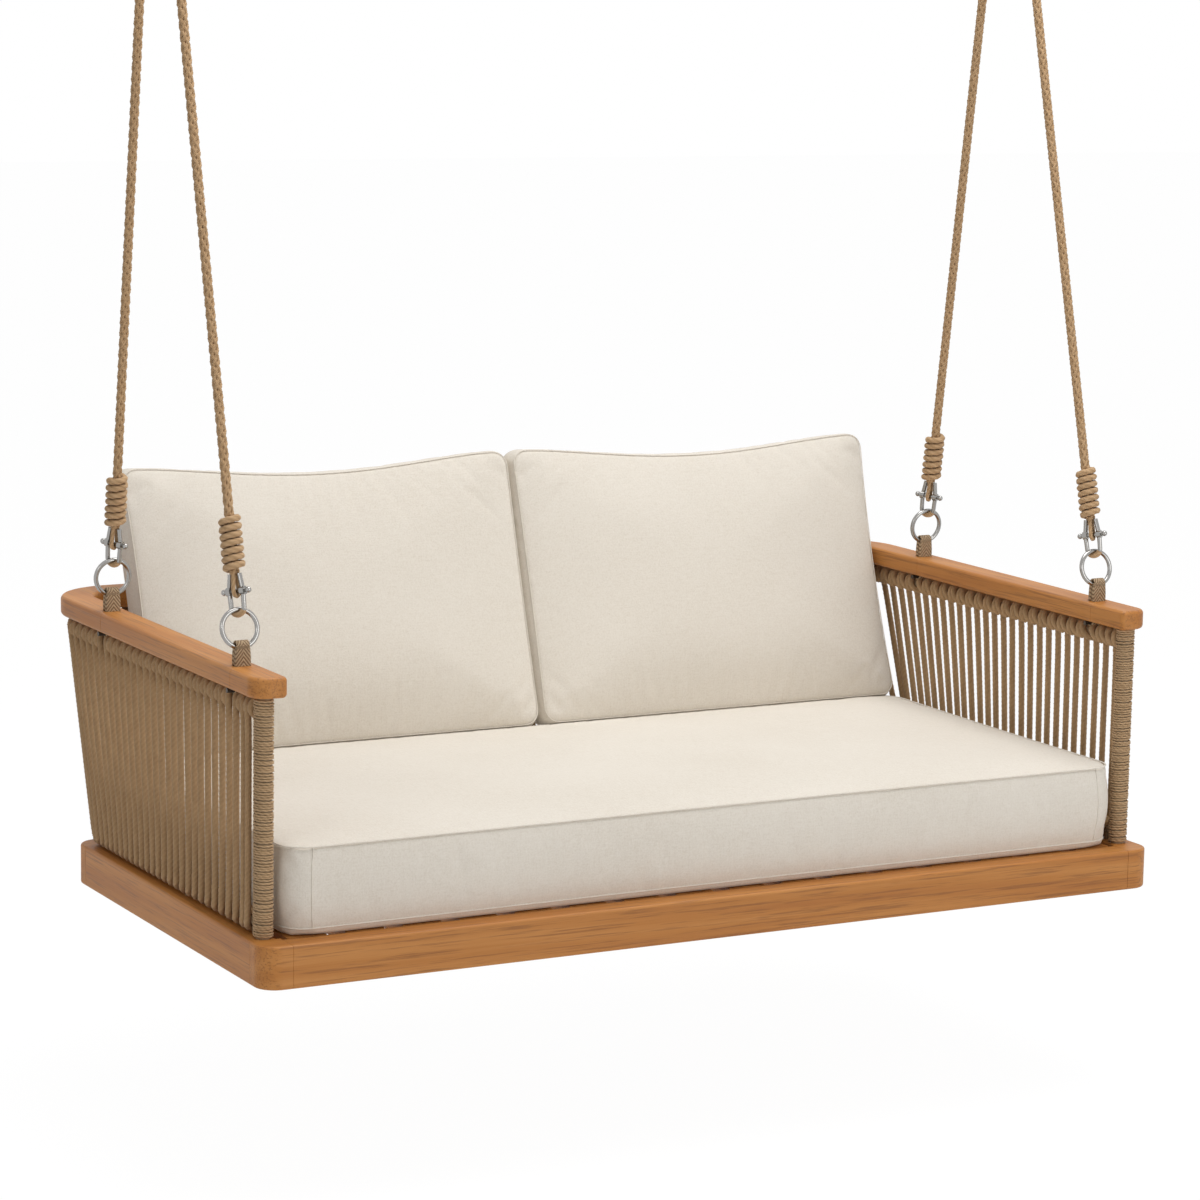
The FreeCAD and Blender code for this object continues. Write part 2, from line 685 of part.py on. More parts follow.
def build_cords():
    upper_arc = upper_rod_back - upper_rod_radius
    lower_arc = lower_rod_back - lower_rod_radius
    side_out, back_out = Vec(1, 0, 0), Vec(0, 1, 0)
    first = first_strand
    strands = []
    y = first
    while y < upper_arc - strand_pitch / 4:
        top = Vec(rail_x, y, upper_rod_z)
        bottom = Vec(rail_x, on_lower_rod(y), lower_rod_z)
        strands.append(strand(top, bottom, side_out, side_out, 0.0))
        y += strand_pitch
    for upper_angle, lower_angle in zip(corner_upper_angles, corner_lower_angles):
        ways = []
        for angle in (upper_angle, lower_angle):
            ways.append(Vec(math.cos(math.radians(angle)), math.sin(math.radians(angle)), 0))
        top = Vec(rail_x - upper_rod_radius, upper_arc, upper_rod_z) + ways[0] * upper_rod_radius
        bottom = Vec(rail_x - lower_rod_radius, lower_arc, lower_rod_z) + ways[1] * lower_rod_radius
        strands.append(strand(top, bottom, ways[0], ways[1], corner_cord_room))
    save("side_cords_right", *strands)
    save("side_cords_left", *[mirrored(s) for s in strands])

    strands = []
    upper_half = rail_x - upper_rod_radius
    spread = (rail_x - lower_rod_radius) / upper_half
    step = 2 * upper_half / back_strands
    for k in range(back_strands):
        x = -upper_half + step * (k + 0.5)
        top = Vec(x, upper_rod_back, upper_rod_z)
        bottom = Vec(x * spread, lower_rod_back, lower_rod_z)
        strands.append(strand(top, bottom, back_out, back_out, 0.0))
    save("back_cords", *strands)


def hanger_frame(y):
    # The load line from the strap's ring seat to the ceiling pivot, and the frame along it.
    seat = Vec(rail_x, y, rail_top + ring_above_rail)
    line = (Vec(rail_x, pivot.y, pivot.z) - seat).normalize()
    across = line.cross(Vec(1, 0, 0)).normalize()
    return seat, line, across


def along_line(solid, seat, line, across, turn):
    # Places a solid made round the Z axis so that Z runs along the load line.
    matrix = FreeCAD.Matrix(1, across.x, line.x, seat.x,
                            0, across.y, line.y, seat.y,
                            0, across.z, line.z, seat.z,
                            0, 0, 0, 1)
    placed = solid.copy()
    placed.rotate(Vec(0, 0, 0), Vec(0, 0, 1), turn)
    placed.Placement = FreeCAD.Placement(matrix).multiply(placed.Placement)
    return placed


def make_strap(y):
    # A flat woven loop through the rail: round the ring above, round an anchor pin below.
    mid = strap_inner_radius + strap_thickness / 2
    top = rail_top + ring_above_rail + ring_rise_at_strap
    pin_z = rail_bottom - anchor_pin_gap - anchor_pin_diameter / 2
    low = pin_z - anchor_pin_diameter / 2 - anchor_pin_gap + strap_inner_radius
    x = rail_x - strap_width / 2
    loops = []
    for radius in (mid + strap_thickness / 2, mid - strap_thickness / 2):
        wire = Part.Wire([
            line_edge(Vec(x, y - radius, low), Vec(x, y - radius, top)),
            arc_edge(Vec(x, y - radius, top), Vec(x, y, top + radius), Vec(x, y + radius, top)),
            line_edge(Vec(x, y + radius, top), Vec(x, y + radius, low)),
            arc_edge(Vec(x, y + radius, low), Vec(x, y, low - radius), Vec(x, y - radius, low)),
        ])
        loops.append(Part.Face(wire).extrude(Vec(strap_width, 0, 0)))
    band = loops[0].cut(loops[1])
    half = anchor_pin_length / 2
    pin = rod(Vec(rail_x - half, y, pin_z), Vec(rail_x + half, y, pin_z), anchor_pin_diameter)
    return band, pin


def make_bow():
    # An upright U of round bar, bored for a pin, its arms closing in up to the whipping's underside.
    r, half = bow_bottom_radius, bow_half_gap
    bottom = 2 * ring_mean_radius - (ring_wire + bow_wire) / 2 - link_clearance
    pin_z = bottom + pin_above_bow
    centre_z = bottom + r
    rise = pin_z - centre_z
    angle = math.atan2(rise, half) - math.acos(r / math.hypot(half, rise))
    touch = Vec(r * math.cos(angle), 0, centre_z + r * math.sin(angle))
    other = Vec(-touch.x, 0, touch.z)
    path = [
        line_edge(Vec(-half, 0, pin_z), other),
        arc_edge(other, Vec(0, 0, bottom), touch),
        line_edge(touch, Vec(half, 0, pin_z)),
    ]
    bow = swept_rod(path, bow_wire)
    added = []
    top_z = pin_z + eye_leg_length - bow_top_room
    for side in (-1, 1):
        boss_start = Vec(side * half - bow_boss_length / 2, 0, pin_z)
        added.append(rod(boss_start, boss_start + Vec(bow_boss_length, 0, 0), bow_boss_diameter))
        added.append(rod(Vec(side * half, 0, pin_z), Vec(side * bow_top_half_gap, 0, top_z), bow_wire))
    bow = joined(bow, *added)
    bore = shackle_pin_diameter / 2 + shackle_pin_clearance
    bow = bow.cut(Part.makeCylinder(bore, 4 * half, Vec(-2 * half, 0, pin_z), Vec(1, 0, 0)))
    span = shackle_knob_half_span
    pin = Part.makeCylinder(shackle_pin_diameter / 2, 2 * span, Vec(-span, 0, pin_z), Vec(1, 0, 0))
    for side in (-1, 1):
        pin = pin.fuse(Part.makeSphere(shackle_knob_diameter / 2, Vec(side * span, 0, pin_z)))
    return bow, pin, pin_z


def eye_loop(turn_radius, leg):
    # A rope eye in the YZ plane: under the pin at the origin, both legs closing in on the rope above.
    reach = math.hypot(eye_leg_offset, leg)
    angle = math.atan2(leg, eye_leg_offset) - math.acos(turn_radius / reach)
    touch = Vec(0, turn_radius * math.cos(angle), turn_radius * math.sin(angle))
    other = Vec(0, -touch.y, touch.z)
    rise = 1 + eye_diameter / leg
    top = touch + (Vec(0, eye_leg_offset, leg) - touch) * rise
    other_top = Vec(0, -top.y, top.z)
    loop = swept_rod([line_edge(top, touch), arc_edge(touch, Vec(0, 0, -turn_radius), other),
                      line_edge(other, other_top)], eye_diameter)
    wide = 4 * turn_radius
    above = box_between((-wide, -wide, leg), (wide, wide, leg + wide))
    return loop.cut(above)


def make_whipping():
    radius = rope_diameter / 2 + whip_clearance + whip_cord / 2
    coil = winding(radius, whip_pitch, whip_turns, cord_section(whip_cord), whip_cord)
    return coil, radius


def build_hangers():
    bow, shackle_pin, pin_above_seat = make_bow()
    lower_eye = eye_loop((shackle_pin_diameter + eye_diameter) / 2 + eye_clearance, eye_leg_length)
    upper_turn = (hanger_plate_thickness + eye_diameter) / 2 + upper_eye_clearance
    upper_rise = math.sqrt((upper_turn - eye_diameter / 2) ** 2 - (hanger_plate_thickness / 2) ** 2)
    upper_leg = eye_leg_length + hanger_corner_radius
    upper_eye = eye_loop(upper_turn, upper_leg)
    upper_eye.rotate(Vec(0, 0, 0), Vec(1, 0, 0), 180)
    coil, coil_radius = make_whipping()
    coil_gap = least_self_gap(coil_radius, whip_pitch, whip_turns, whip_cord)
    print("whipping least gap", round(coil_gap, 2), "mm")
    coil_height = whip_turns * whip_pitch + whip_cord
    groups = {name: [] for name in ("strap_pins", "shackle_pins", "lower_rope_eyes", "upper_rope_eyes",
                                    "lower_whippings", "upper_whippings")}
    for place, y in (("front", strap_from_front), ("back", strap_back_from_front)):
        seat, line, across = hanger_frame(y)
        full = (Vec(rail_x, pivot.y, pivot.z) - seat).Length
        rope_start = pin_above_seat + eye_leg_length
        hole = full - hanger_hole_below
        hole_turn = hole - hanger_hole_diameter / 2 - upper_rise + eye_clearance
        rope_end = hole_turn - upper_leg

        def put(solid, height, turn):
            return along_line(solid, seat + line * height, line, across, turn)

        band, anchor = make_strap(y)
        ring = Part.makeTorus(ring_mean_radius, ring_wire / 2)
        ring.rotate(Vec(0, 0, 0), Vec(1, 0, 0), 90)
        rope = Part.makeCylinder(rope_diameter / 2, rope_end - rope_start)
        lower_coil = put(coil, rope_start + whip_cord / 2, 0)
        upper_coil = put(coil, rope_end - coil_height + whip_cord / 2, 0)
        pieces = {
            "strap": band,
            "ring": put(ring, ring_mean_radius, 0),
            "shackle_bow": put(bow, 0, shackle_turn),
            "rope": put(rope, rope_start, 0),
        }
        for name, solid in pieces.items():
            save(name + "_right_" + place, solid)
            save(name + "_left_" + place, other_side(solid))
        shared = {
            "strap_pins": anchor,
            "shackle_pins": put(shackle_pin, 0, shackle_turn),
            "lower_rope_eyes": put(lower_eye, pin_above_seat, shackle_turn),
            "upper_rope_eyes": put(upper_eye, hole_turn, 90),
            "lower_whippings": lower_coil,
            "upper_whippings": upper_coil,
        }
        for name, solid in shared.items():
            groups[name] += [solid, other_side(solid)]
    for name, solids in groups.items():
        save(name, *solids)


def other_side(solid):
    # Shackles hang turned the same way on both sides, so everything is moved across, not mirrored.
    moved = solid.copy()
    moved.translate(Vec(-2 * rail_x, 0, 0))
    return moved


def outline_round(circles):
    # The tight outline round three circles (centre y, centre z, radius), given clockwise.
    points = []
    count = len(circles)
    for k in range(count):
        y0, z0, r0 = circles[k]
        y1, z1, r1 = circles[(k + 1) % count]
        length = math.hypot(y1 - y0, z1 - z0)
        heading = math.atan2(z1 - z0, y1 - y0)
        normal = heading + math.acos((r0 - r1) / length)
        points.append((Vec(0, y0 + r0 * math.cos(normal), z0 + r0 * math.sin(normal)),
                       Vec(0, y1 + r1 * math.cos(normal), z1 + r1 * math.sin(normal)), normal))
    edges = []
    for k in range(count):
        start, end, normal = points[k]
        next_start, _, next_normal = points[(k + 1) % count]
        y1, z1, r1 = circles[(k + 1) % count]
        turn = (normal - next_normal) % (2 * math.pi)
        middle = normal - turn / 2
        edges.append(line_edge(start, end))
        through = Vec(0, y1 + r1 * math.cos(middle), z1 + r1 * math.sin(middle))
        edges.append(arc_edge(end, through, next_start))
    return Part.Wire(edges)


def build_ceiling():
    half_gap = ear_gap / 2
    plate = box_between((rail_x - plate_width / 2, pivot.y - plate_length / 2, ceiling_z - plate_thickness),
                        (rail_x + plate_width / 2, pivot.y + plate_length / 2, ceiling_z))
    upright = [e for e in plate.Edges if e.BoundBox.ZLength > plate_thickness / 2]
    plate = plate.makeFillet(plate_thickness, upright)
    root = ear_root_width / 2 - ear_round / 2
    ear_top = ceiling_z - plate_thickness - ear_round / 2
    circles = [
        (pivot.y, pivot.z, ear_round),
        (pivot.y - root, ear_top, ear_round / 2),
        (pivot.y + root, ear_top, ear_round / 2),
    ]
    profile = Part.Face(outline_round(circles))
    ears = []
    for x in (rail_x - half_gap - ear_thickness, rail_x + half_gap):
        ear = profile.extrude(Vec(ear_thickness, 0, 0))
        ear.translate(Vec(x, 0, 0))
        ears.append(ear)
    bracket = joined(plate, *ears)
    pin_bore = swing_pin_diameter / 2 + ear_bore_clearance
    across = Vec(rail_x - plate_width, pivot.y, pivot.z)
    bracket = bracket.cut(Part.makeCylinder(pin_bore, 2 * plate_width, across, Vec(1, 0, 0)))
    for side in (-1, 1):
        at = Vec(rail_x, pivot.y + side * bolt_hole_spacing / 2, ceiling_z - 2 * plate_thickness)
        bracket = bracket.cut(Part.makeCylinder(bolt_hole_diameter / 2, 3 * plate_thickness, at))
    save("ceiling_bracket_right", bracket)
    save("ceiling_bracket_left", mirrored(bracket))

    outer = half_gap + ear_thickness
    shank = rod(Vec(rail_x - outer - swing_pin_head_height, pivot.y, pivot.z),
                Vec(rail_x + outer + swing_pin_head_height, pivot.y, pivot.z), swing_pin_diameter)
    heads = []
    for side in (-1, 1):
        inner_face = Vec(rail_x + side * outer, pivot.y, pivot.z)
        heads.append(rod(inner_face, inner_face + Vec(side * swing_pin_head_height, 0, 0), swing_pin_head))
    pin = joined(shank, *heads)
    save("swing_pin_right", pin)
    save("swing_pin_left", mirrored(pin))

    # The hanger plate: one bored boss above, one eye for each rope below.
    boss_half = half_gap - bush_side_gap
    circles = [(pivot.y, pivot.z, boss_diameter / 2)]
    holes = []
    for y in (strap_from_front, strap_back_from_front):
        seat, line, across_line = hanger_frame(y)
        hole = Vec(rail_x, pivot.y, pivot.z) - line * hanger_hole_below
        holes.append(hole)
        circles.append((hole.y, hole.z, hanger_corner_radius))
    circles = [circles[0], circles[2], circles[1]]
    plate = Part.Face(outline_round(circles)).extrude(Vec(hanger_plate_thickness, 0, 0))
    plate.translate(Vec(rail_x - hanger_plate_thickness / 2, 0, 0))
    left_face = Vec(rail_x - boss_half, pivot.y, pivot.z)
    plate = joined(plate, Part.makeCylinder(boss_diameter / 2, 2 * boss_half, left_face, Vec(1, 0, 0)))
    plate = plate.cut(Part.makeCylinder(bush_diameter / 2, 2 * boss_half, left_face, Vec(1, 0, 0)))
    for hole in holes:
        start = hole - Vec(plate_width, 0, 0)
        plate = plate.cut(Part.makeCylinder(hanger_hole_diameter / 2, 2 * plate_width, start, Vec(1, 0, 0)))
    save("hanger_plate_right", plate)
    save("hanger_plate_left", mirrored(plate))
    bush = Part.makeCylinder(bush_diameter / 2, 2 * boss_half, left_face, Vec(1, 0, 0))
    bush_bore = swing_pin_diameter / 2 + bush_running_clearance
    bush = bush.cut(Part.makeCylinder(bush_bore, 2 * boss_half, left_face, Vec(1, 0, 0)))
    save("hanger_bushes", bush, mirrored(bush))


def cushion_outline(width, depth, radius, draws, level):
    # Round corners joined by sides that draw in by the given amounts: right, far, left, near.
    a, b = width / 2, depth / 2

    s = radius * (1 - math.sqrt(0.5))
    corners = [(a, -b, -1, 1), (a, b, -1, -1), (-a, b, 1, -1), (-a, -b, 1, 1)]
    starts, middles, ends = [], [], []
    for k, (cx, cy, ix, iy) in enumerate(corners):
        along_x = Vec(cx + ix * radius, cy, level)
        along_y = Vec(cx, cy + iy * radius, level)
        first, last = (along_x, along_y) if k % 2 == 0 else (along_y, along_x)
        starts.append(first)
        middles.append(Vec(cx + ix * s, cy + iy * s, level))
        ends.append(last)
    inward = [Vec(-1, 0, 0), Vec(0, -1, 0), Vec(1, 0, 0), Vec(0, 1, 0)]
    edges = []
    for k in range(4):
        edges.append(arc_edge(starts[k], middles[k], ends[k]))
        nxt = (k + 1) % 4
        middle = (ends[k] + starts[nxt]) * 0.5 + inward[k] * draws[k]
        edges.append(arc_edge(ends[k], middle, starts[nxt]))
    return Part.Wire(edges)


def cushion(width, depth, height, radius, draws, crown, crown_both):
    # Levels up the side: tucked under, full at the piping, swelling between, then the crown.
    piping = 12.0
    swell = 5.0
    crown_steps = ((0.06, 0.42), (0.15, 0.76), (0.28, 1.0))
    shortest = min(width, depth)
    levels = []
    top_edge = height - crown
    bottom_edge = crown if crown_both else piping
    if crown_both:
        for share, rise in reversed(crown_steps):
            levels.append((shortest * share, bottom_edge - crown * rise))
    else:
        levels.append((2 * piping, 0.0))
    levels += [(swell, bottom_edge), (0.0, (bottom_edge + top_edge) / 2), (swell, top_edge)]
    for share, rise in crown_steps:
        levels.append((shortest * share, top_edge + crown * rise))
    wires = []
    for inset, level in levels:
        fade = max(0.2, 1 - inset / (shortest * 0.5))
        across, along = width - 2 * inset, depth - 2 * inset
        corner = min(radius + inset * 0.3, 0.35 * min(across, along))
        faded = [d * fade for d in draws]
        wires.append(cushion_outline(across, along, corner, faded, level))
    return Part.makeLoft(wires, True, True)


def filled_cushion(width, depth, height, radius, *shape):
    # The cover with its wadding; the light foam within is left as a closed space.
    wall = cushion_wall
    outer = cushion(width, depth, height, radius, *shape)
    inner = cushion(width - 2 * wall, depth - 2 * wall, height - 2 * wall, radius, *shape)
    inner.translate(Vec(0, 0, wall))
    return outer.cut(inner)


def build_cushions():
    depth = seat_cushion_back - seat_cushion_front
    draws = [seat_side_draw] * 4
    seat = filled_cushion(seat_cushion_width, depth, seat_cushion_height, seat_corner_radius,
                          draws, seat_crown, False)
    seat.translate(Vec(0, (seat_cushion_front + seat_cushion_back) / 2, base_height + cushion_gap))
    save("seat_cushion", seat)

    draws = [back_side_draw, back_top_draw, back_side_draw, 0.5]
    pad = filled_cushion(back_cushion_width, back_cushion_height, back_cushion_thickness, back_corner_radius,
                         draws, back_crown, True)
    # Stood up: its height along Z, its front face towards the sitter, then leant back.
    pad.translate(Vec(0, back_cushion_height / 2, -back_cushion_thickness))
    pad.rotate(Vec(0, 0, 0), Vec(1, 0, 0), 90 - back_cushion_lean)
    x_mid = back_cushion_width / 2 + back_cushion_parting
    lift = seat_top + cushion_gap - back_cushion_settle - pad.BoundBox.ZMin
    pad.translate(Vec(x_mid, back_cushion_front - pad.BoundBox.YMin, lift))
    other = mirrored(pad)
    # Both lie loose, a little to one side.
    for node, solid in (("back_cushion_right", pad), ("back_cushion_left", other)):
        solid.translate(Vec(back_cushion_shift, 0, 0))
        save(node, solid)


build_base()
build_slats()
build_top_rail()
build_posts()
build_rods()
build_cords()
build_hangers()
build_ceiling()
build_cushions()
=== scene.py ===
import math
import random

import bmesh
import bpy
from mathutils import Matrix, Vector


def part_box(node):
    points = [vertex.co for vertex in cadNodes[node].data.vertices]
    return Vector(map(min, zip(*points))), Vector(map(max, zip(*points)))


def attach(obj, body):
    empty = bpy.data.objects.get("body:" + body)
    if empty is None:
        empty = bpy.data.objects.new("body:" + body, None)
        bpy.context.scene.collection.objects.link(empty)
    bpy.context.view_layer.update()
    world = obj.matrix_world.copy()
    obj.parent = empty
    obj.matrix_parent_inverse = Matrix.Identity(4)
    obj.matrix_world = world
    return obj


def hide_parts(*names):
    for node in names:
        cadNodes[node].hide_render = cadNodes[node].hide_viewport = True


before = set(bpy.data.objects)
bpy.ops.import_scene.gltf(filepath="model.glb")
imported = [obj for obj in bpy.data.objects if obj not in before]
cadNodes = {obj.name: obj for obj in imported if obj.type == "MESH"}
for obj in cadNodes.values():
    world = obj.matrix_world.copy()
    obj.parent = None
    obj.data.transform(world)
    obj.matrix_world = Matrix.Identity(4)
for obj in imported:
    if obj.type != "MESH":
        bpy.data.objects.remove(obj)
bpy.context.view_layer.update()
print("frame loaded:", len(cadNodes), "nodes")

# places are as on the drawing: x from the middle, back from the base's front face, up from its underside
plan = {
    "pivotBack": 518.5,
    "pivotUp": 1990.0,
    "ceilingUp": 2034.0,
    "railX": 821.0,
    "railTop": 490.0,
    "strapBacks": {"front": 155.0, "back": 717.0},
}


def named(starts, ends):
    return [start + "_" + end for start in starts for end in ends]


leftRight = ("left", "right")
fourPlaces = named(leftRight, ("front", "back"))


def seatPoint(x, back, up):
    return Vector((x, back - plan["pivotBack"], up - plan["ceilingUp"])) / 1000


# camera

cameraFacts = {
    "place": (-3144.2, -5319.7, 1576.9),
    "yaw": 28.42,
    "pitch": 9.33,
    "roll": 0.99,
    "focalPixels": 3825.2,
    "framePixels": 1200,
    "sensor": 36.0,
}


def addCamera(facts):
    yaw, pitch, roll = (math.radians(facts[k]) for k in ("yaw", "pitch", "roll"))
    ahead = Vector((math.sin(yaw) * math.cos(pitch), math.cos(yaw) * math.cos(pitch), -math.sin(pitch)))
    level = Vector((math.cos(yaw), -math.sin(yaw), 0))
    top = level.cross(ahead)
    right = level * math.cos(roll) + top * math.sin(roll)
    up = top * math.cos(roll) - level * math.sin(roll)
    data = bpy.data.cameras.new("photoCamera")
    data.sensor_width = facts["sensor"]
    data.lens = facts["focalPixels"] / facts["framePixels"] * facts["sensor"]
    data.clip_end = 60
    camera = bpy.data.objects.new("photoCamera", data)
    bpy.context.scene.collection.objects.link(camera)
    turn = Matrix((right, up, -ahead)).transposed().to_4x4()
    camera.matrix_world = Matrix.Translation(seatPoint(*facts["place"])) @ turn
    bpy.context.scene.camera = camera


addCamera(cameraFacts)

# node tools


def operator(operation, reflected=False):
    def apply(self, other):
        pair = (other, self) if reflected else (self, other)
        return self.nodes.maths(operation, *pair)

    return apply


class Flow:
    # one value in a node tree, so that maths reads as plain sums
    def __init__(self, nodes, socket):
        self.nodes = nodes
        self.socket = socket

    def other(self, name):
        # another output of the same node
        return Flow(self.nodes, self.socket.node.outputs[name])

    __add__, __radd__ = operator("ADD"), operator("ADD", True)
    __sub__, __rsub__ = operator("SUBTRACT"), operator("SUBTRACT", True)
    __mul__, __rmul__ = operator("MULTIPLY"), operator("MULTIPLY", True)
    __truediv__, __rtruediv__ = operator("DIVIDE"), operator("DIVIDE", True)
    __pow__, __rpow__ = operator("POWER"), operator("POWER", True)


class Nodes:
    # makes and links the nodes of one tree
    def __init__(self, tree):
        self.tree = tree

    def add(self, kind, settings, values, output=0):
        node = self.tree.nodes.new(kind)
        for key, value in settings.items():
            setattr(node, key, value)
        for key, value in values.items():
            self.feed(node.inputs[key], value)
        return Flow(self, node.outputs[output])

    def feed(self, socket, value):
        if isinstance(value, Flow):
            self.tree.links.new(value.socket, socket)
        elif isinstance(value, tuple) and len(value) == 3 and socket.type == "RGBA":
            socket.default_value = (*value, 1)
        else:
            socket.default_value = value

    def maths(self, operation, first, second=0.0):
        return self.add("ShaderNodeMath", {"operation": operation}, {0: first, 1: second})


class Finish(Nodes):
    def __init__(self, name):
        self.material = bpy.data.materials.new(name)
        self.material.use_nodes = True
        super().__init__(self.material.node_tree)
        self.shader = self.tree.nodes["Principled BSDF"]

    def set(self, **values):
        for key, value in values.items():
            self.feed(self.shader.inputs[key.replace("_", " ")], value)

    def place(self, scale):
        coords = self.add("ShaderNodeTexCoord", {}, {}, "Object")
        return self.add("ShaderNodeMapping", {}, {"Vector": coords, "Scale": scale})

    def noise(self, vector, scale, detail=3.0, roughness=0.5, distortion=0.0):
        return self.add("ShaderNodeTexNoise", {}, {"Vector": vector, "Scale": scale, "Detail": detail,
                                                   "Roughness": roughness, "Distortion": distortion})

    def ramp(self, value, stops):
        colour = self.add("ShaderNodeValToRGB", {}, {"Fac": value})
        elements = colour.socket.node.color_ramp.elements
        while len(elements) < len(stops):
            elements.new(0.5)
        for element, (place, tone) in zip(elements, stops):
            element.position = place
            element.color = (*tone, 1)
        return colour

    def mix(self, factor, first, second):
        return self.add("ShaderNodeMix", {"data_type": "RGBA"}, {"Factor": factor, 6: first, 7: second}, 2)

    def bump(self, height, strength, distance):
        values = {"Height": height, "Strength": strength, "Distance": distance}
        self.set(Normal=self.add("ShaderNodeBump", {}, values))

    def attribute(self, name):
        return self.add("ShaderNodeAttribute", {"attribute_name": name}, {}, "Fac")


# finishes

teakLook = {
    "pale": (0.54, 0.236, 0.06),
    "middle": (0.45, 0.175, 0.034),
    "deep": (0.35, 0.12, 0.023),
    "pores": (0.16, 0.054, 0.013),
}


def teakFinish(name, grain):
    # grain is the way that the board's length runs
    look = Finish(name)
    lengthways = "xyz".index(grain)

    def stretched(along, across):
        return look.place(tuple(along if i == lengthways else across for i in range(3)))

    broad = look.noise(stretched(1.0, 9.0), 1.5, 3.0, 0.5, 0.4)
    streaks = look.noise(stretched(1.8, 115.0), 1.0, 4.0, 0.6, 0.25)
    rings = look.add("ShaderNodeTexWave", {"wave_type": "BANDS", "bands_direction": "DIAGONAL"},
                     {"Vector": stretched(0.7, 12.0), "Scale": 0.9, "Distortion": 6.0, "Detail": 3.0,
                      "Detail Scale": 1.2}, "Fac")
    pores = look.noise(stretched(7.0, 300.0), 1.0, 3.0, 0.65)
    tone = broad * 0.3 + streaks * 0.52 + rings * 0.18
    colour = look.ramp(tone, [(0.22, teakLook["deep"]), (0.48, teakLook["middle"]), (0.76, teakLook["pale"])])
    lines = look.ramp(pores, [(0.36, (1, 1, 1)), (0.48, (0, 0, 0))])
    colour = look.mix(lines * 0.5, colour, teakLook["pores"])
    look.set(Base_Color=colour, Roughness=0.42 + 0.16 * pores, Specular_IOR_Level=0.4)
    look.bump(pores * 0.6 + streaks * 0.4, 0.2, 0.0006)
    return look.material


# the groove tones are painted shade in the hollows between plies, the crest tones painted light on the ply
# tops
cordLook = {
    "taupe": {"crest": (0.60, 0.40, 0.22), "body": (0.45, 0.282, 0.146), "grooveShade": (0.17, 0.098, 0.045)},
    "wrap": {"crest": (0.62, 0.43, 0.25), "body": (0.50, 0.33, 0.18), "grooveShade": (0.27, 0.165, 0.082)},
    "jute": {"crest": (0.65, 0.445, 0.26), "body": (0.49, 0.313, 0.165), "grooveShade": (0.185, 0.105, 0.05)},
}


def cordFinish(name, tones, fibrePitch, lift, plyShadeShare):
    # crest, along and around are written on the cord's mesh where it is made; crest paints the ply grooves
    # darker and the ply tops lighter, as painted shade and painted light
    look = Finish(name)
    crest = look.attribute("crest")
    along = look.attribute("along")
    around = look.attribute("around")
    fibres = look.add("ShaderNodeCombineXYZ", {},
                      {"X": along * (1 / fibrePitch) + around * 2.0, "Y": around * 30.0, "Z": 0.0})
    hair = look.noise(fibres, 1.0, 3.0, 0.6)
    drift = look.noise(look.place((1, 1, 1)), 45.0, 3.0, 0.6)
    # crest darkens the colour in the grooves and lightens it on the ply tops: painted shade and painted
    # light, weighted by the ply share
    tone = (crest - 0.7) * plyShadeShare + hair * 0.45 + drift * 0.35 + 0.12
    colour = look.ramp(tone, [(0.05, tones["grooveShade"]), (0.42, tones["body"]), (0.85, tones["crest"])])
    look.set(Base_Color=colour, Roughness=0.86, Specular_IOR_Level=0.2, Sheen_Weight=0.12)
    look.bump(hair + drift * 0.4, 0.55, lift)
    return look.material


strapLook = {
    "light": (0.54, 0.40, 0.255),
    "body": (0.37, 0.25, 0.15),
    "dark": (0.13, 0.082, 0.045),
    "pitch": 0.0072,
    "rib": 0.0019,
}


def strapFinish(name, facts):
    # a flat plait in chevrons; along and aside are written on the strap's mesh
    look = Finish(name)
    along = look.attribute("along")
    aside = look.attribute("aside")
    slant = look.maths("ABSOLUTE", aside)
    over = look.maths("SINE", (along + slant * 1.3) * (2 * math.pi / facts["pitch"]))
    ribs = look.maths("SINE", (along - slant * 0.8) * (2 * math.pi / facts["rib"]))
    fuzz = look.noise(look.place((1, 1, 1)), 700.0, 3.0, 0.6)
    tone = over * 0.26 + fuzz * 0.35 + ribs * 0.07 + 0.36
    colour = look.ramp(tone, [(0.2, facts["dark"]), (0.45, facts["body"]), (0.8, facts["light"])])
    look.set(Base_Color=colour, Roughness=0.85, Specular_IOR_Level=0.2)
    look.bump(over + ribs * 0.2 + fuzz * 0.3, 0.6, 0.0009)
    return look.material


linenLook = {
    "pale": (0.80, 0.75, 0.672),
    "body": (0.755, 0.70, 0.617),
    "slub": (0.685, 0.622, 0.533),
    "threadPitch": 0.0017,
}


def linenFinish(name, facts):
    look = Finish(name)
    spot = look.place((1, 1, 1))
    freq = 2 * math.pi / facts["threadPitch"]
    axes = look.add("ShaderNodeSeparateXYZ", {}, {"Vector": spot})
    threads = []
    slubs = []
    for k in range(3):
        wander = look.noise(look.place(tuple(7 if i == k else 90 for i in range(3))), 1.0, 2.0, 0.6)
        threads.append(look.maths("SINE", axes.other(k) * freq + wander * 9.0))
        slubs.append(look.noise(look.place(tuple(45 if i == k else 430 for i in range(3))), 1.0, 2.0, 0.6))
    slub = (slubs[0] + slubs[1] + slubs[2]) * 0.3333
    speck = look.noise(spot, 330.0, 2.0, 0.6)
    cloud = look.noise(spot, 4.0, 3.0, 0.5)
    weave = threads[0] * threads[2] + threads[0] * threads[1] + threads[1] * threads[2]
    tone = slub * 0.5 + speck * 0.32 + cloud * 0.18
    colour = look.ramp(tone, [(0.36, facts["slub"]), (0.5, facts["body"]), (0.64, facts["pale"])])
    look.set(Base_Color=colour, Roughness=0.92, Specular_IOR_Level=0.15, Sheen_Weight=0.1)
    look.bump(weave * 0.22 + slub * 1.4 + speck, 0.35, 0.0006)
    return look.material


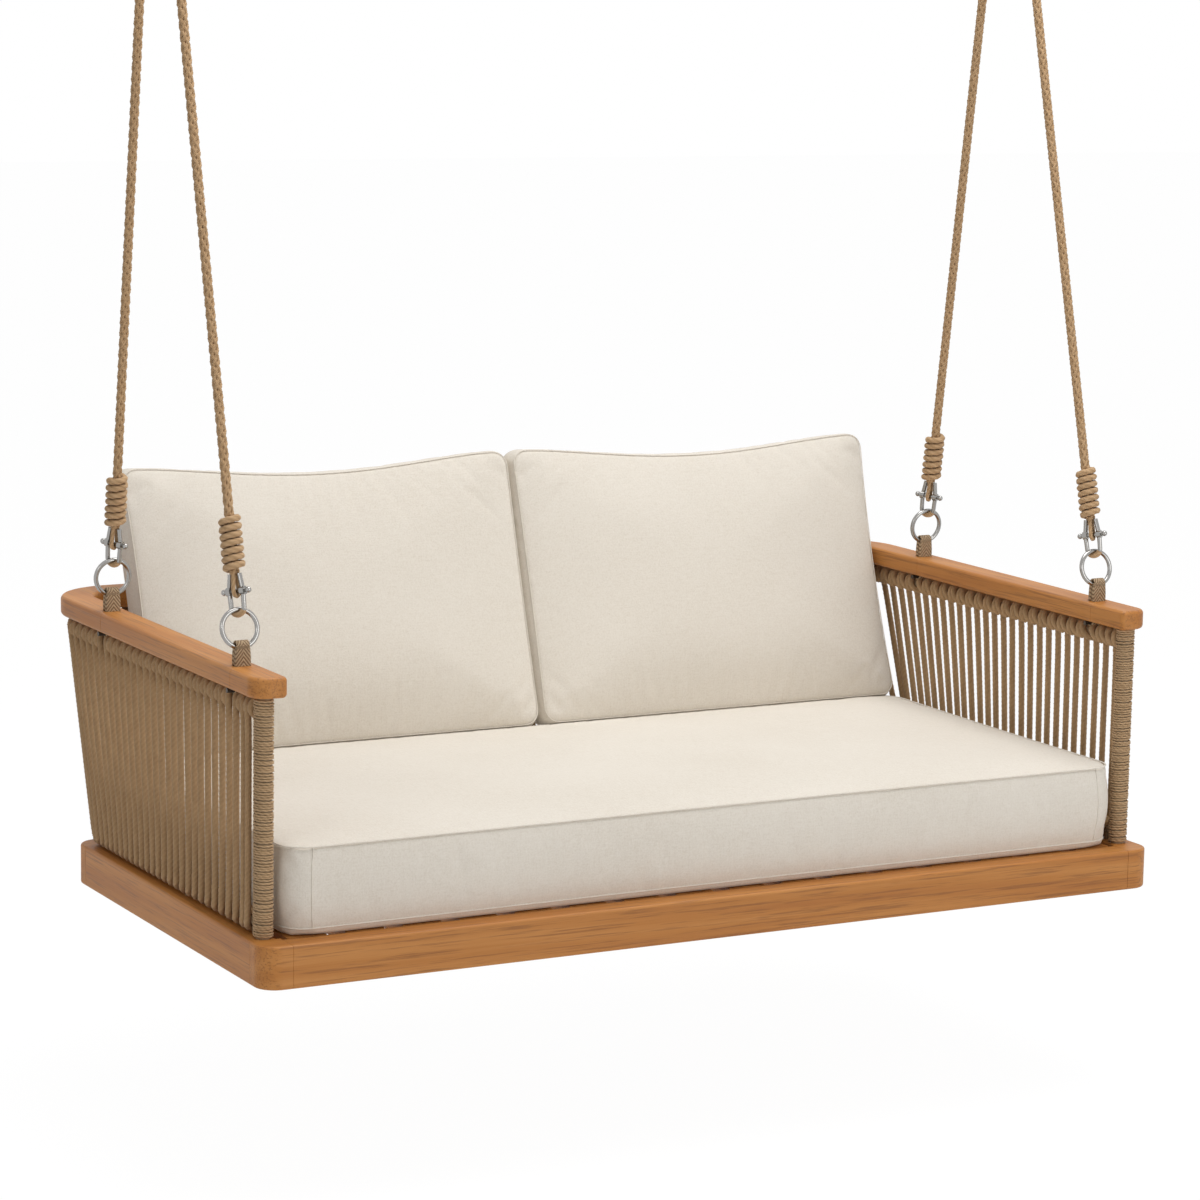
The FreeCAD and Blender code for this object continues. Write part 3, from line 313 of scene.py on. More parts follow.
def steelFinish(name, tone, rough, brushed):
    look = Finish(name)
    haze = look.noise(look.place((30, 30, 30)), 1.0, 3.0, 0.6)
    lines = look.noise(look.place((900, 30, 30)), 1.0, 2.0, 0.5)
    colour = look.mix(haze, tone, tuple(v * 0.82 for v in tone))
    look.set(Base_Color=colour, Metallic=1.0, Roughness=rough + haze * 0.08 + lines * brushed)
    look.bump(lines, 0.05 + brushed * 0.4, 0.0002)
    return look.material


def coatFinish(name, tone, rough):
    look = Finish(name)
    orangePeel = look.noise(look.place((1, 1, 1)), 900.0, 2.0, 0.5)
    cloud = look.noise(look.place((1, 1, 1)), 14.0, 2.0, 0.5)
    colour = look.mix(cloud, tone, tuple(v * 0.86 for v in tone))
    look.set(Base_Color=colour, Roughness=rough + orangePeel * 0.1)
    look.bump(orangePeel, 0.12, 0.0003)
    return look.material


teakAlongX = teakFinish("teakAlongX", "x")
teakAlongY = teakFinish("teakAlongY", "y")
taupeCord = cordFinish("taupeCord", cordLook["taupe"], 0.004, 0.0007, 0.26)
wrapCord = cordFinish("wrapCord", cordLook["wrap"], 0.006, 0.0004, 0.4)
juteRope = cordFinish("juteRope", cordLook["jute"], 0.005, 0.0007, 0.35)
strapWeave = strapFinish("strapWeave", strapLook)
ecruLinen = linenFinish("ecruLinen", linenLook)
polishedSteel = steelFinish("polishedSteel", (0.36, 0.35, 0.335), 0.1, 0.05)
darkSteel = steelFinish("darkSteel", (0.1, 0.085, 0.07), 0.4, 0.1)
satinSteel = steelFinish("satinSteel", (0.44, 0.44, 0.43), 0.26, 0.16)
taupeCoat = coatFinish("taupeCoat", (0.36, 0.25, 0.145), 0.5)
whiteNylon = coatFinish("whiteNylon", (0.82, 0.81, 0.77), 0.45)
print("finishes ready")

cadFinishes = {
    teakAlongX: named(("base_rail",), ("front", "back")) + named(("base_corner",), fourPlaces)
    + ["back_rail", "center_bearer"],
    teakAlongY: named(("base_rail", "arm_rail", "rail_nose", "rail_corner"), leftRight) + ["seat_slats"],
    taupeCoat: named(("front_post", "side_frame"), leftRight) + ["back_bars"],
    satinSteel: named(("ceiling_bracket", "swing_pin", "hanger_plate"), leftRight),
    darkSteel: ["strap_pins", "post_bolts"],
    polishedSteel: named(("shackle_bow",), fourPlaces) + ["shackle_pins"],
    whiteNylon: ["hanger_bushes"],
}
for material, names in cadFinishes.items():
    for name in names:
        cadNodes[name].data.materials.clear()
        cadNodes[name].data.materials.append(material)

# geometry nodes


class Tree(Nodes):
    def __init__(self, name):
        super().__init__(bpy.data.node_groups.new(name, "GeometryNodeTree"))
        for way in ("INPUT", "OUTPUT"):
            self.tree.interface.new_socket("Geometry", in_out=way, socket_type="NodeSocketGeometry")
        self.entry = self.tree.nodes.new("NodeGroupInput")
        self.exit = self.tree.nodes.new("NodeGroupOutput")
        self.names = {}

    def input(self, name, kind, value=None):
        socket = self.tree.interface.new_socket(name, in_out="INPUT", socket_type="NodeSocket" + kind)
        if value is not None:
            socket.default_value = value
        self.names[name] = socket.identifier
        return Flow(self, self.entry.outputs[name])

    def given(self):
        return Flow(self, self.entry.outputs[0])

    def mark(self, geometry, name, value):
        return self.add("GeometryNodeStoreNamedAttribute", {"data_type": "FLOAT", "domain": "POINT"},
                        {"Geometry": geometry, "Name": name, "Value": value})

    def close(self, geometry, material):
        real = self.add("GeometryNodeRealizeInstances", {}, {"Geometry": geometry})
        done = self.add("GeometryNodeSetMaterial", {}, {"Geometry": real, "Material": material})
        self.feed(self.exit.inputs[0], done)


def laidCordTree():
    # sweeps a lobed section along curves and twists it, as plies lie round each other
    tree = Tree("laidCord")
    diameter = tree.input("Diameter", "Float", 0.011)
    lay = tree.input("Lay", "Float", 0.04)
    plies = tree.input("Plies", "Int", 3)
    depth = tree.input("Depth", "Float", 0.25)
    step = tree.input("Step", "Float", 0.005)
    sides = tree.input("Sides", "Int", 15)
    material = tree.input("Material", "Material")
    evened = tree.add("GeometryNodeResampleCurve", {"mode": "LENGTH"},
                      {"Curve": tree.given(), "Length": step})
    length = tree.add("GeometryNodeSplineParameter", {}, {}, "Length")
    phase = tree.add("GeometryNodeInputCurveTilt", {}, {})
    marked = tree.mark(evened, "along", length)
    twist = length / lay * (2 * math.pi) + phase
    twisted = tree.add("GeometryNodeSetCurveTilt", {}, {"Curve": marked, "Tilt": twist})
    circle = tree.add("GeometryNodeCurvePrimitiveCircle", {"mode": "RADIUS"},
                      {"Resolution": sides, "Radius": diameter * 0.5}, "Curve")
    spot = tree.add("GeometryNodeInputPosition", {}, {})
    axes = tree.add("ShaderNodeSeparateXYZ", {}, {"Vector": spot})
    angle = tree.maths("ARCTAN2", axes.other("Y"), axes.other("X"))
    crest = (tree.maths("COSINE", angle * plies) * 0.5 + 0.5) ** 0.6
    shrink = 1.0 - depth * (1.0 - crest)
    # crest is also stored on the mesh, where the cord's finish paints the grooves darker as painted shade
    lobed = tree.add("GeometryNodeSetPosition", {}, {
        "Geometry": tree.mark(circle, "crest", crest),
        "Position": tree.add("ShaderNodeVectorMath", {"operation": "SCALE"}, {0: spot, "Scale": shrink}),
    })
    lobed = tree.mark(lobed, "around", tree.add("GeometryNodeSplineParameter", {}, {}, "Factor"))
    swept = tree.add("GeometryNodeCurveToMesh", {},
                     {"Curve": twisted, "Profile Curve": lobed, "Fill Caps": True})
    tree.close(tree.add("GeometryNodeSetShadeSmooth", {}, {"Geometry": swept}), material)
    return tree


def studTree():
    # a domed head on every point, its axis upright
    tree = Tree("studs")
    radius = tree.input("Radius", "Float", 0.008)
    height = tree.input("Height", "Float", 0.004)
    material = tree.input("Material", "Material")
    ball = tree.add("GeometryNodeMeshUVSphere", {}, {"Segments": 24, "Rings": 12, "Radius": radius})
    flat = tree.add("ShaderNodeCombineXYZ", {}, {"X": 1.0, "Y": 1.0, "Z": height / radius})
    dome = tree.add("GeometryNodeTransform", {}, {"Geometry": ball, "Scale": flat})
    points = tree.add("GeometryNodeMeshToPoints", {}, {"Mesh": tree.given()})
    heads = tree.add("GeometryNodeInstanceOnPoints", {}, {"Points": points, "Instance": dome})
    real = tree.add("GeometryNodeRealizeInstances", {}, {"Geometry": heads})
    tree.close(tree.add("GeometryNodeSetShadeSmooth", {}, {"Geometry": real}), material)
    return tree


laidCord = laidCordTree()
studs = studTree()


def linked(piece):
    bpy.context.scene.collection.objects.link(piece)
    return piece


def meshObject(name, points, faces):
    mesh = bpy.data.meshes.new(name)
    mesh.from_pydata([tuple(p) for p in points], [], faces)
    return linked(bpy.data.objects.new(name, mesh))


def curveObject(name, runs, kind):
    # one spline for each run of points
    data = bpy.data.curves.new(name, "CURVE")
    data.dimensions = "3D"
    data.twist_mode = "MINIMUM"
    for points in runs:
        spline = data.splines.new(kind)
        spline.points.add(len(points) - 1)
        for point, spot in zip(spline.points, points):
            point.co = (*spot, 1)
    return linked(bpy.data.objects.new(name, data))


def polyCurve(name, runs):
    # straight from point to point, each run with its own twist phase
    curve = curveObject(name, runs, "POLY")
    rng = random.Random(len(runs))
    for spline in curve.data.splines:
        phase = rng.uniform(0, 6.28)
        for point in spline.points:
            point.tilt = phase
    return curve


def evaluatedMesh(piece):
    graph = bpy.context.evaluated_depsgraph_get()
    return bpy.data.meshes.new_from_object(piece.evaluated_get(graph), depsgraph=graph)


def madeByTree(source, recipe, name, **inputs):
    # runs the recipe's tree on the source once and keeps the result as a plain mesh
    modifier = source.modifiers.new("tree", "NODES")
    modifier.node_group = recipe.tree
    for key, value in inputs.items():
        modifier[recipe.names[key]] = value
    mesh = evaluatedMesh(source)
    mesh.name = name
    piece = linked(bpy.data.objects.new(name, mesh))
    source.modifiers.remove(modifier)
    bpy.data.objects.remove(source)
    return piece


def laid(name, runs, look, diameter, lay, plies=3, depth=0.25, step=0.005, sides=15):
    return madeByTree(polyCurve(name + "Path", runs), laidCord, name, Diameter=diameter, Lay=lay, Plies=plies,
                      Depth=depth, Step=step, Sides=sides, Material=look)


def onBody(piece, body, slot, *nodes):
    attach(piece, body)
    if nodes:
        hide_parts(*nodes)


# hangers

hanger = {
    "seatAboveRail": 29.0,
    "ringRadius": 30.0,
    "ringWire": 8.0,
    "pinUp": 88.7,
    "ropeStart": 116.7,
    "shackleTurn": -57.0,
    "eye": 7.5,
    "eyeLeg": 3.9,
    "eyeTuck": 4.0,
    "eyeSteps": 16,
    "lowerEyeTurn": 7.55,
    "upperEyeTurn": 9.75,
    "upperEyeLeg": 41.5,
    "upperTurnBelowPivot": 120.017,
}


class HangerLine:
    # the load line of one rope, with places along it in millimetres from the strap's ring seat
    def __init__(self, side, end):
        self.name = ("left" if side < 0 else "right") + "_" + end
        self.x = side * plan["railX"]
        self.back = plan["strapBacks"][end]
        self.start = seatPoint(self.x, self.back, plan["railTop"] + hanger["seatAboveRail"])
        pivot = seatPoint(self.x, plan["pivotBack"], plan["pivotUp"])
        self.line = (pivot - self.start).normalized()
        self.level = Vector((1, 0, 0))
        self.across = self.line.cross(self.level).normalized()
        self.upperTurn = (pivot - self.start).length * 1000 - hanger["upperTurnBelowPivot"]
        self.ropeEnd = self.upperTurn - hanger["upperEyeLeg"]

    def at(self, along, level=0.0, across=0.0, turn=0.0):
        c, s = math.cos(math.radians(turn)), math.sin(math.radians(turn))
        aside = self.level * (level * c - across * s) + self.across * (level * s + across * c)
        return self.start + (self.line * along + aside) / 1000


hangerLines = [HangerLine(side, end) for side in (-1, 1) for end in ("front", "back")]

ropeFacts = {
    "diameter": 15.5,
    "strand": 6.5,
    "middle": 4.7,
    "weaveDepth": 0.85,
    "lay": 74.0,
    "straightRun": 93.0,
    "curveSteps": 210,
}


def routePoints(name, points):
    # the rope's line, read back from a smooth spline through its few control points
    route = curveObject(name, [points], "NURBS")
    spline = route.data.splines[0]
    spline.resolution_u = ropeFacts["curveSteps"]
    spline.order_u = 3
    spline.use_endpoint_u = True
    spots = [v.co.copy() for v in evaluatedMesh(route).vertices]
    bpy.data.objects.remove(route)
    return spots


def plaitRuns(spots, line):
    # eight strands, four each way round, over one and under one
    level = Vector((1, 0, 0))
    across = line.cross(level).normalized()
    runs = []
    for way in (-1, 1):
        for k in range(4):
            run = []
            gone = 0.0
            for i, spot in enumerate(spots):
                if i:
                    gone += (spot - spots[i - 1]).length * 1000
                turn = 2 * math.pi * gone / ropeFacts["lay"]
                angle = way * turn + math.pi / 2 * k + math.pi / 4 * (way > 0)
                weave = way * math.cos(4 * turn - math.pi / 4)
                radius = ropeFacts["middle"] + ropeFacts["weaveDepth"] * weave
                run.append(spot + (level * math.cos(angle) + across * math.sin(angle)) * radius / 1000)
            runs.append(run)
    return runs


def addRope(hung):
    ends = (hanger["ropeStart"], hung.ropeEnd)
    run = ropeFacts["straightRun"]
    spots = routePoints("ropeRoute", [hung.at(t) for t in (ends[0], ends[0] + run, ends[1] - run, ends[1])])
    rope = laid("rope_" + hung.name + "_plaited", plaitRuns(spots, hung.line), juteRope,
                ropeFacts["strand"] / 1000, lay=0.04, depth=0.1, step=0.0045, sides=9)
    onBody(rope, "seat", "jute_rope", "rope_" + hung.name)


for hung in hangerLines:
    addRope(hung)
print("ropes plaited")

whipFacts = {
    "cord": 11.4,
    "coil": 13.4,
    "turns": 7.0,
    "pitch": 12.0,
    "pointsPerTurn": 24,
    "tuck": 5.2,
    "tuckTurns": 0.35,
    "unevenness": 0.35,
    "ripple": 0.25,
    "startAngle": 0.9,
}


def whippingRun(hung, base, rng):
    # close turns round the rope, both ends tucked in against it
    count = int(whipFacts["turns"] * whipFacts["pointsPerTurn"])
    lifts = [rng.uniform(-whipFacts["unevenness"], whipFacts["unevenness"]) for _ in range(12)]
    run = []
    for k in range(count + 1):
        turn = k / whipFacts["pointsPerTurn"]
        fromEnd = min(turn, whipFacts["turns"] - turn)
        tucked = max(0.0, 1 - fromEnd / whipFacts["tuckTurns"])
        ripple = whipFacts["ripple"] * math.sin(turn * 4.1 + lifts[0] * 9)
        radius = whipFacts["coil"] - whipFacts["tuck"] * tucked ** 2 + ripple
        up = base + whipFacts["cord"] / 2 + whipFacts["pitch"] * turn + lifts[int(turn)]
        angle = 2 * math.pi * turn + whipFacts["startAngle"]
        run.append(hung.at(up, radius * math.cos(angle), radius * math.sin(angle)))
    return run


def eyeRun(hung, centre, radius, leg, flip, turn):
    # down one leg, round the pin, up the other leg; flip hangs it upside down
    half, tuck, steps = (hanger[key] for key in ("eyeLeg", "eyeTuck", "eyeSteps"))
    touch = math.atan2(leg, half) - math.acos(radius / math.hypot(half, leg))
    points = [(half, leg + tuck), (half, leg)]
    for k in range(steps + 1):
        angle = touch - (math.pi + 2 * touch) * k / steps
        points.append((radius * math.cos(angle), radius * math.sin(angle)))
    points += [(-half, leg), (-half, leg + tuck)]
    return [hung.at(centre + flip * up, 0.0, aside, turn) for aside, up in points]


def addRopeEnds():
    rng = random.Random(8)
    coilHeight = whipFacts["turns"] * whipFacts["pitch"] + whipFacts["cord"]
    lowCoils, highCoils, lowEyes, highEyes = [], [], [], []
    for hung in hangerLines:
        lowCoils.append(whippingRun(hung, hanger["ropeStart"], rng))
        highCoils.append(whippingRun(hung, hung.ropeEnd - coilHeight, rng))
        lowEyes.append(eyeRun(hung, hanger["pinUp"], hanger["lowerEyeTurn"],
                              hanger["ropeStart"] - hanger["pinUp"], 1, hanger["shackleTurn"]))
        highEyes.append(eyeRun(hung, hung.upperTurn, hanger["upperEyeTurn"], hanger["upperEyeLeg"], -1, 90.0))
    cord, eye = whipFacts["cord"] / 1000, hanger["eye"] / 1000
    for name, runs, size in (("lower_whippings", lowCoils, cord), ("upper_whippings", highCoils, cord),
                             ("lower_rope_eyes", lowEyes, eye), ("upper_rope_eyes", highEyes, eye)):
        piece = laid(name + "_laid", runs, juteRope, size, lay=0.036, depth=0.13, step=0.0028)
        onBody(piece, "seat", "jute_rope", name)


addRopeEnds()
print("whippings and eyes wound")


def sweptLoop(name, rings, look):
    # skins rings of points into one smooth closed loop
    count = len(rings[0])
    faces = []
    for i in range(len(rings)):
        j = (i + 1) % len(rings)
        for k in range(count):
            n = (k + 1) % count
            faces.append((i * count + k, i * count + n, j * count + n, j * count + k))
    loop = meshObject(name, [p for ring in rings for p in ring], faces)
    work = bmesh.new()
    work.from_mesh(loop.data)
    bmesh.ops.recalc_face_normals(work, faces=work.faces)
    work.to_mesh(loop.data)
    work.free()
    loop.data.shade_smooth()
    loop.data.materials.append(look)
    return loop


def addRing(hung):
    steps, sides = 96, 20
    wire = hanger["ringWire"] / 2
    centre = hung.at(hanger["ringRadius"])
    rings = []
    for i in range(steps):
        turn = 2 * math.pi * i / steps
        out = hung.level * math.cos(turn) + hung.line * math.sin(turn)
        ring = []
        for k in range(sides):
            angle = 2 * math.pi * k / sides
            reach = hanger["ringRadius"] + wire * math.cos(angle)
            ring.append(centre + (out * reach + hung.across * wire * math.sin(angle)) / 1000)
        rings.append(ring)
    ring = sweptLoop("ring_" + hung.name + "_round", rings, polishedSteel)
    onBody(ring, "ring_" + hung.name, "polished_steel", "ring_" + hung.name)


for hung in hangerLines:
    addRing(hung)

strapFacts = {
    "width": 26.0,
    "thickness": 3.0,
    "middleRadius": 6.9,
    "topUp": 522.0,
    "lowUp": 453.0,
    "steps": 16,
    "runSteps": 18,
    "pinch": 0.16,
    "pinchFrom": 504.0,
    "pinchRun": 0.025,
    "fold": 4.4,
    "edge": 0.5,
    "crown": 0.12,
}


def strapLoop(hung):
    # points of the loop's middle line with the outward way at each
    r, top, low = (strapFacts[key] for key in ("middleRadius", "topUp", "lowUp"))
    places = []
    # half round the ring and down behind, then half round the pin and up in front
    for way, here, there in ((-1, top, low), (1, low, top)):
        for k in range(strapFacts["steps"] + 1):
            angle = math.pi * k / strapFacts["steps"]
            y, z = way * math.cos(angle), -way * math.sin(angle)
            places.append((y * r, here + z * r, y, z))
        for k in range(1, strapFacts["runSteps"]):
            share = k / strapFacts["runSteps"]
            places.append((-way * r, here + (there - here) * share, -way, 0.0))
    return [(seatPoint(hung.x, hung.back + y, up), Vector((0, outY, outZ))) for y, up, outY, outZ in places]


def addStrap(hung):
    half, thick, edge = strapFacts["width"] / 2, strapFacts["thickness"] / 2, strapFacts["edge"]
    section = [(-half + edge, -thick), (half - edge, -thick), (half, -thick * 0.4), (half, thick * 0.4)]
    section += [(half - edge, thick)]
    section += [(half * f, thick + strapFacts["crown"]) for f in (0.6, 0.2, -0.2, -0.6)]
    section += [(-half + edge, thick), (-half, thick * 0.4), (-half, -thick * 0.4)]
    pinchFrom = seatPoint(0, 0, strapFacts["pinchFrom"]).z
    railTop = seatPoint(0, 0, plan["railTop"]).z
    rings = []
    for spot, out in strapLoop(hung):
        high = max(0.0, (spot.z - pinchFrom) / strapFacts["pinchRun"])
        pinch = 1 - strapFacts["pinch"] * min(1.0, high)
        # folded double between the rail and the ring
        fold = strapFacts["fold"] * max(0.0, 1 - 3 * abs(out.z)) if spot.z > railTop else 0.0
        ring = []
        for w, t in section:
            depth = t - fold if t < 0 else t
            ring.append(spot + (Vector((w * pinch, 0, 0)) + out * depth) / 1000)
        rings.append(ring)
    strap = sweptLoop("strap_" + hung.name + "_woven", rings, strapWeave)
    gone = 0.0
    measures = {"along": [], "aside": []}
    for i, ring in enumerate(rings):
        if i:
            gone += (ring[0] - rings[i - 1][0]).length
        measures["along"] += [gone] * len(section)
        measures["aside"] += [w / 1000 for w, t in section]
    for measure, values in measures.items():
        strap.data.attributes.new(measure, "FLOAT", "POINT").data.foreach_set("value", values)
    onBody(strap, "seat", "webbing", "strap_" + hung.name)


for hung in hangerLines:
    addStrap(hung)

sleeveFacts = {"diameter": 9.8, "middle": 63.7, "radius": 12.0, "from": 205.0, "to": 335.0, "steps": 14}


def sleeveRun(hung):
    # a short sleeve on the shackle's bend, where it bears on the ring
    first, last, steps, radius = (sleeveFacts[key] for key in ("from", "to", "steps", "radius"))
    run = []
    for k in range(steps + 1):
        angle = math.radians(first + (last - first) * k / steps)
        up = sleeveFacts["middle"] + radius * math.sin(angle)
        run.append(hung.at(up, radius * math.cos(angle), 0.0, hanger["shackleTurn"]))
    return run


sleeves = laid("shackle_sleeves", [sleeveRun(hung) for hung in hangerLines], juteRope,
               sleeveFacts["diameter"] / 1000, lay=5.0, depth=0.03, step=0.0025, sides=16)
onBody(sleeves, "seat", "webbing")
print("rings, straps and sleeves made")

# hitched panel cords

panel = {
    "cord": 12.0,
    "upperRodUp": 435.3,
    "lowerRodUp": 90.7,
    "hitchRadius": 14.2,
    "wrapRadius": 13.6,
    "pitch": 562.0 / 19,
    "firstBack": 155.0 - 562.0 / 19 * 1.5,
    "upperRadius": 91.0,
    "upperBack": 956.0,
    "lowerRadius": 40.0,
    "lowerBack": 795.0,
    "upperAngles": (8.0, 31.0, 59.0, 82.0),
    "lowerAngles": (1.0, 20.0, 70.0, 89.0),
    "backCount": 49,
    "besidePost": 93.0,
    "leafOut": 14.0,
    "leafIn": -4.0,
    "hitchEnd": 300.0,
    "secondEnd": 610.0,
    "advance": 10.0,
    "cornerEnd": 170.0,
    "hitchStep": 24.0,
    "lay": 0.027,
}


def hitch(centre, out, along, rise, first, last):
    # round a rod, leaning one way on its outer face and back the other way on its inner face
    points = []
    steps = round(last / panel["hitchStep"])
    for k in range(steps + 1):
        angle = first + (math.radians(last) - first) * k / steps
        lean = 0.3 + 0.7 * max(0.0, math.sin(min(angle, math.pi / 2)))
        back = min(1.0, max(0.0, angle / math.pi - 0.5))
        back = back * back * (3 - 2 * back)
        run = panel["leafOut"] * lean * (1 - back) + panel["leafIn"] * back
        run -= panel["advance"] * max(0.0, angle / (2 * math.pi) - 0.75)
        ring = out * math.cos(angle) + rise * math.sin(angle)
        points.append(centre + (along * run + ring * panel["wrapRadius"]) / 1000)
    return points


def hitchedStrand(top, bottom, rng):
    # over the upper rod, down its outer side, under the lower rod
    # each end gives its place on the rod, the ways out and along, and the angle where its turns stop
    topSpot, topOut, topAlong, topLast = top
    lowSpot, lowOut, lowAlong, lowLast = bottom
    up = Vector((0, 0, 1))
    down = (lowSpot - topSpot).normalized()
    off = up.cross(topOut + lowOut).cross(down).normalized()
    if off.dot(topOut) < 0:
        off = -off
    lean = math.atan2(off.z, off.dot(topOut))
    upper = hitch(topSpot, topOut, topAlong, up, lean, topLast)
    lower = hitch(lowSpot, lowOut, lowAlong, -up, -lean, lowLast)
    r = panel["hitchRadius"] / 1000
    sway = Vector((rng.uniform(-1, 1), rng.uniform(-1, 1), 0)) * 0.0008
    runTop, runLow = topSpot + off * r, lowSpot + off * r
    run = []
    for share, leaf in ((0.045, 0.16), (0.085, 0.05), (0.2, 0), (0.35, 0), (0.5, 0), (0.65, 0), (0.8, 0)):
        spot = runTop.lerp(runLow, share) + sway * math.sin(math.pi * share)
        run.append(spot + topAlong * panel["leafOut"] * leaf / 1000)
    for share, leaf in ((0.915, 0.05), (0.955, 0.16)):
        run.append(runTop.lerp(runLow, share) + lowAlong * panel["leafOut"] * leaf / 1000)
    return list(reversed(upper)) + run + lower


def panelRuns(side):
    # side is 1 for the right panel with its corner, -1 for the left
    rng = random.Random(5 + side)
    railX = plan["railX"]
    upperArc = panel["upperBack"] - panel["upperRadius"]
    lowerArc = panel["lowerBack"] - panel["lowerRadius"]
    first = panel["firstBack"]
    squeeze = (lowerArc - first) / (upperArc - first)
    straight = 1 / squeeze - 1
    backs = [panel["besidePost"]]
    back = first
    while back < upperArc - panel["pitch"] / 4:
        backs.append(back)
        back += panel["pitch"]
    runs = []
    out, along = Vector((side, 0, 0)), Vector((0, 1, 0))
    for back in backs:
        share = (back - first) / (upperArc - first)
        low = first + (back - first) * squeeze * (1 + straight * (1 - share))
        # one turn only just behind a strap
        nearStrap = any(0 < back - spot < panel["pitch"] for spot in plan["strapBacks"].values())
        last = panel["hitchEnd"] if nearStrap else panel["secondEnd"]
        top = (seatPoint(side * railX, back, panel["upperRodUp"]), out, along, last)
        bottom = (seatPoint(side * railX, low, panel["lowerRodUp"]), out, along, panel["hitchEnd"])
        runs.append(hitchedStrand(top, bottom, rng))
    for upper, lower in zip(panel["upperAngles"], panel["lowerAngles"]):
        ends = []
        for rod, angle, arc, last in (("upper", upper, upperArc, "secondEnd"),
                                      ("lower", lower, lowerArc, "cornerEnd")):
            radius = panel[rod + "Radius"]
            way = Vector((side * math.cos(math.radians(angle)), math.sin(math.radians(angle)), 0))
            spot = seatPoint(side * (railX - radius), arc, panel[rod + "RodUp"]) + way * radius / 1000
            ends.append((spot, way, Vector((-way.y * side, way.x * side, 0)), panel[last]))
        runs.append(hitchedStrand(*ends, rng))
    return runs


def backRuns():
    rng = random.Random(11)
    half = plan["railX"] - panel["upperRadius"]
    spread = (plan["railX"] - panel["lowerRadius"]) / half
    step = 2 * half / panel["backCount"]
    out, along = Vector((0, 1, 0)), Vector((1, 0, 0))
    runs = []
    for k in range(panel["backCount"]):
        x = -half + step * (k + 0.5)
        top = seatPoint(x, panel["upperBack"], panel["upperRodUp"])
        bottom = seatPoint(x * spread, panel["lowerBack"], panel["lowerRodUp"])
        runs.append(hitchedStrand((top, out, along, panel["secondEnd"]),
                                  (bottom, out, along, panel["hitchEnd"]), rng))
    return runs


def addPanels():
    panels = {"side_cords_left": panelRuns(-1), "side_cords_right": panelRuns(1), "back_cords": backRuns()}
    for node, runs in panels.items():
        cords = laid(node + "_laid", runs, taupeCord, panel["cord"] / 1000, panel["lay"],
                     depth=0.1, step=0.0031, sides=9)
        onBody(cords, "seat", "taupe_cord", node)


addPanels()
print("panels laced")

# post wrapping

wrapFacts = {
    "postBack": 66.0,
    "postRadius": 12.2,
    "cord": 4.5,
    "turns": 88,
    "bottom": 72.6,
    "top": 453.4,
    "pointsPerTurn": 18,
    "unevenness": 1.5,
    "ripple": 0.3,
}


def wrapRun(side):
    rng = random.Random(21 + side)
    radius = wrapFacts["postRadius"] + wrapFacts["cord"] / 2
    count = wrapFacts["turns"] * wrapFacts["pointsPerTurn"]
    uneven = wrapFacts["unevenness"]
    lifts = [rng.uniform(-uneven, uneven) for _ in range(wrapFacts["turns"] + 2)]
    points = []
    for k in range(count + 1):
        turn = k / wrapFacts["pointsPerTurn"]
        whole = int(turn)
        lift = lifts[whole] * (1 - turn + whole) + lifts[whole + 1] * (turn - whole)
        angle = 2 * math.pi * turn * side
        up = wrapFacts["bottom"] + (wrapFacts["top"] - wrapFacts["bottom"]) * k / count
        up = min(max(up + lift, wrapFacts["bottom"]), wrapFacts["top"])
        swell = radius + wrapFacts["ripple"] * math.sin(turn * 2.3 + side)
        x, back = swell * math.cos(angle), swell * math.sin(angle)
        points.append(seatPoint(side * plan["railX"] + x, wrapFacts["postBack"] + back, up))
    return points


for side, word in zip((-1, 1), leftRight):
    wrap = laid("post_wrap_" + word + "_cord", [wrapRun(side)], wrapCord, wrapFacts["cord"] / 1000, lay=0.019,
                plies=2, depth=0.24, step=0.0024, sides=8)
    onBody(wrap, "seat", "taupe_cord", "post_wrap_" + word)
print("posts wrapped")

# cushions

seatPad = {
    "width": 1584.0,
    "depth": 731.0,
    "corner": 46.0,
    "lowSeam": 13.0,
    "highSeam": 144.0,
    "crown": (14.0, 13.0),
    "flatBelow": True,
    "swell": 6.0,
    "sag": 0.0,
    "draws": (5.0, 4.0, 5.0, 4.0),
    "cell": 11.0,
    "cap": 8.0,
}
backPad = {
    "width": 752.0,
    "depth": 506.0,
    "corner": 28.0,
    "lowSeam": 18.0,
    "highSeam": 80.0,
    "crown": (29.0, 16.0),
    "flatBelow": False,
    "swell": 9.0,
    "sag": 0.45,
    "draws": (9.0, 25.0, 9.0, 0.5),
    "cell": 8.5,
    "cap": 9.0,
}
padPlaces = {
    "seatUp": 70.5,
    "seatMiddleBack": 404.5,
    "backLean": 17.5,
    "backUp": 6.0,
    "touchingDraw": 2.0,
    "asideRight": 8.0,
    "asideLeft": 18.0,
}
clothFacts = {
    "pressure": 4.0,
    "frames": 20,
    "slack": -0.012,
    "stretch": 15,
    "bend": 0.6,
}


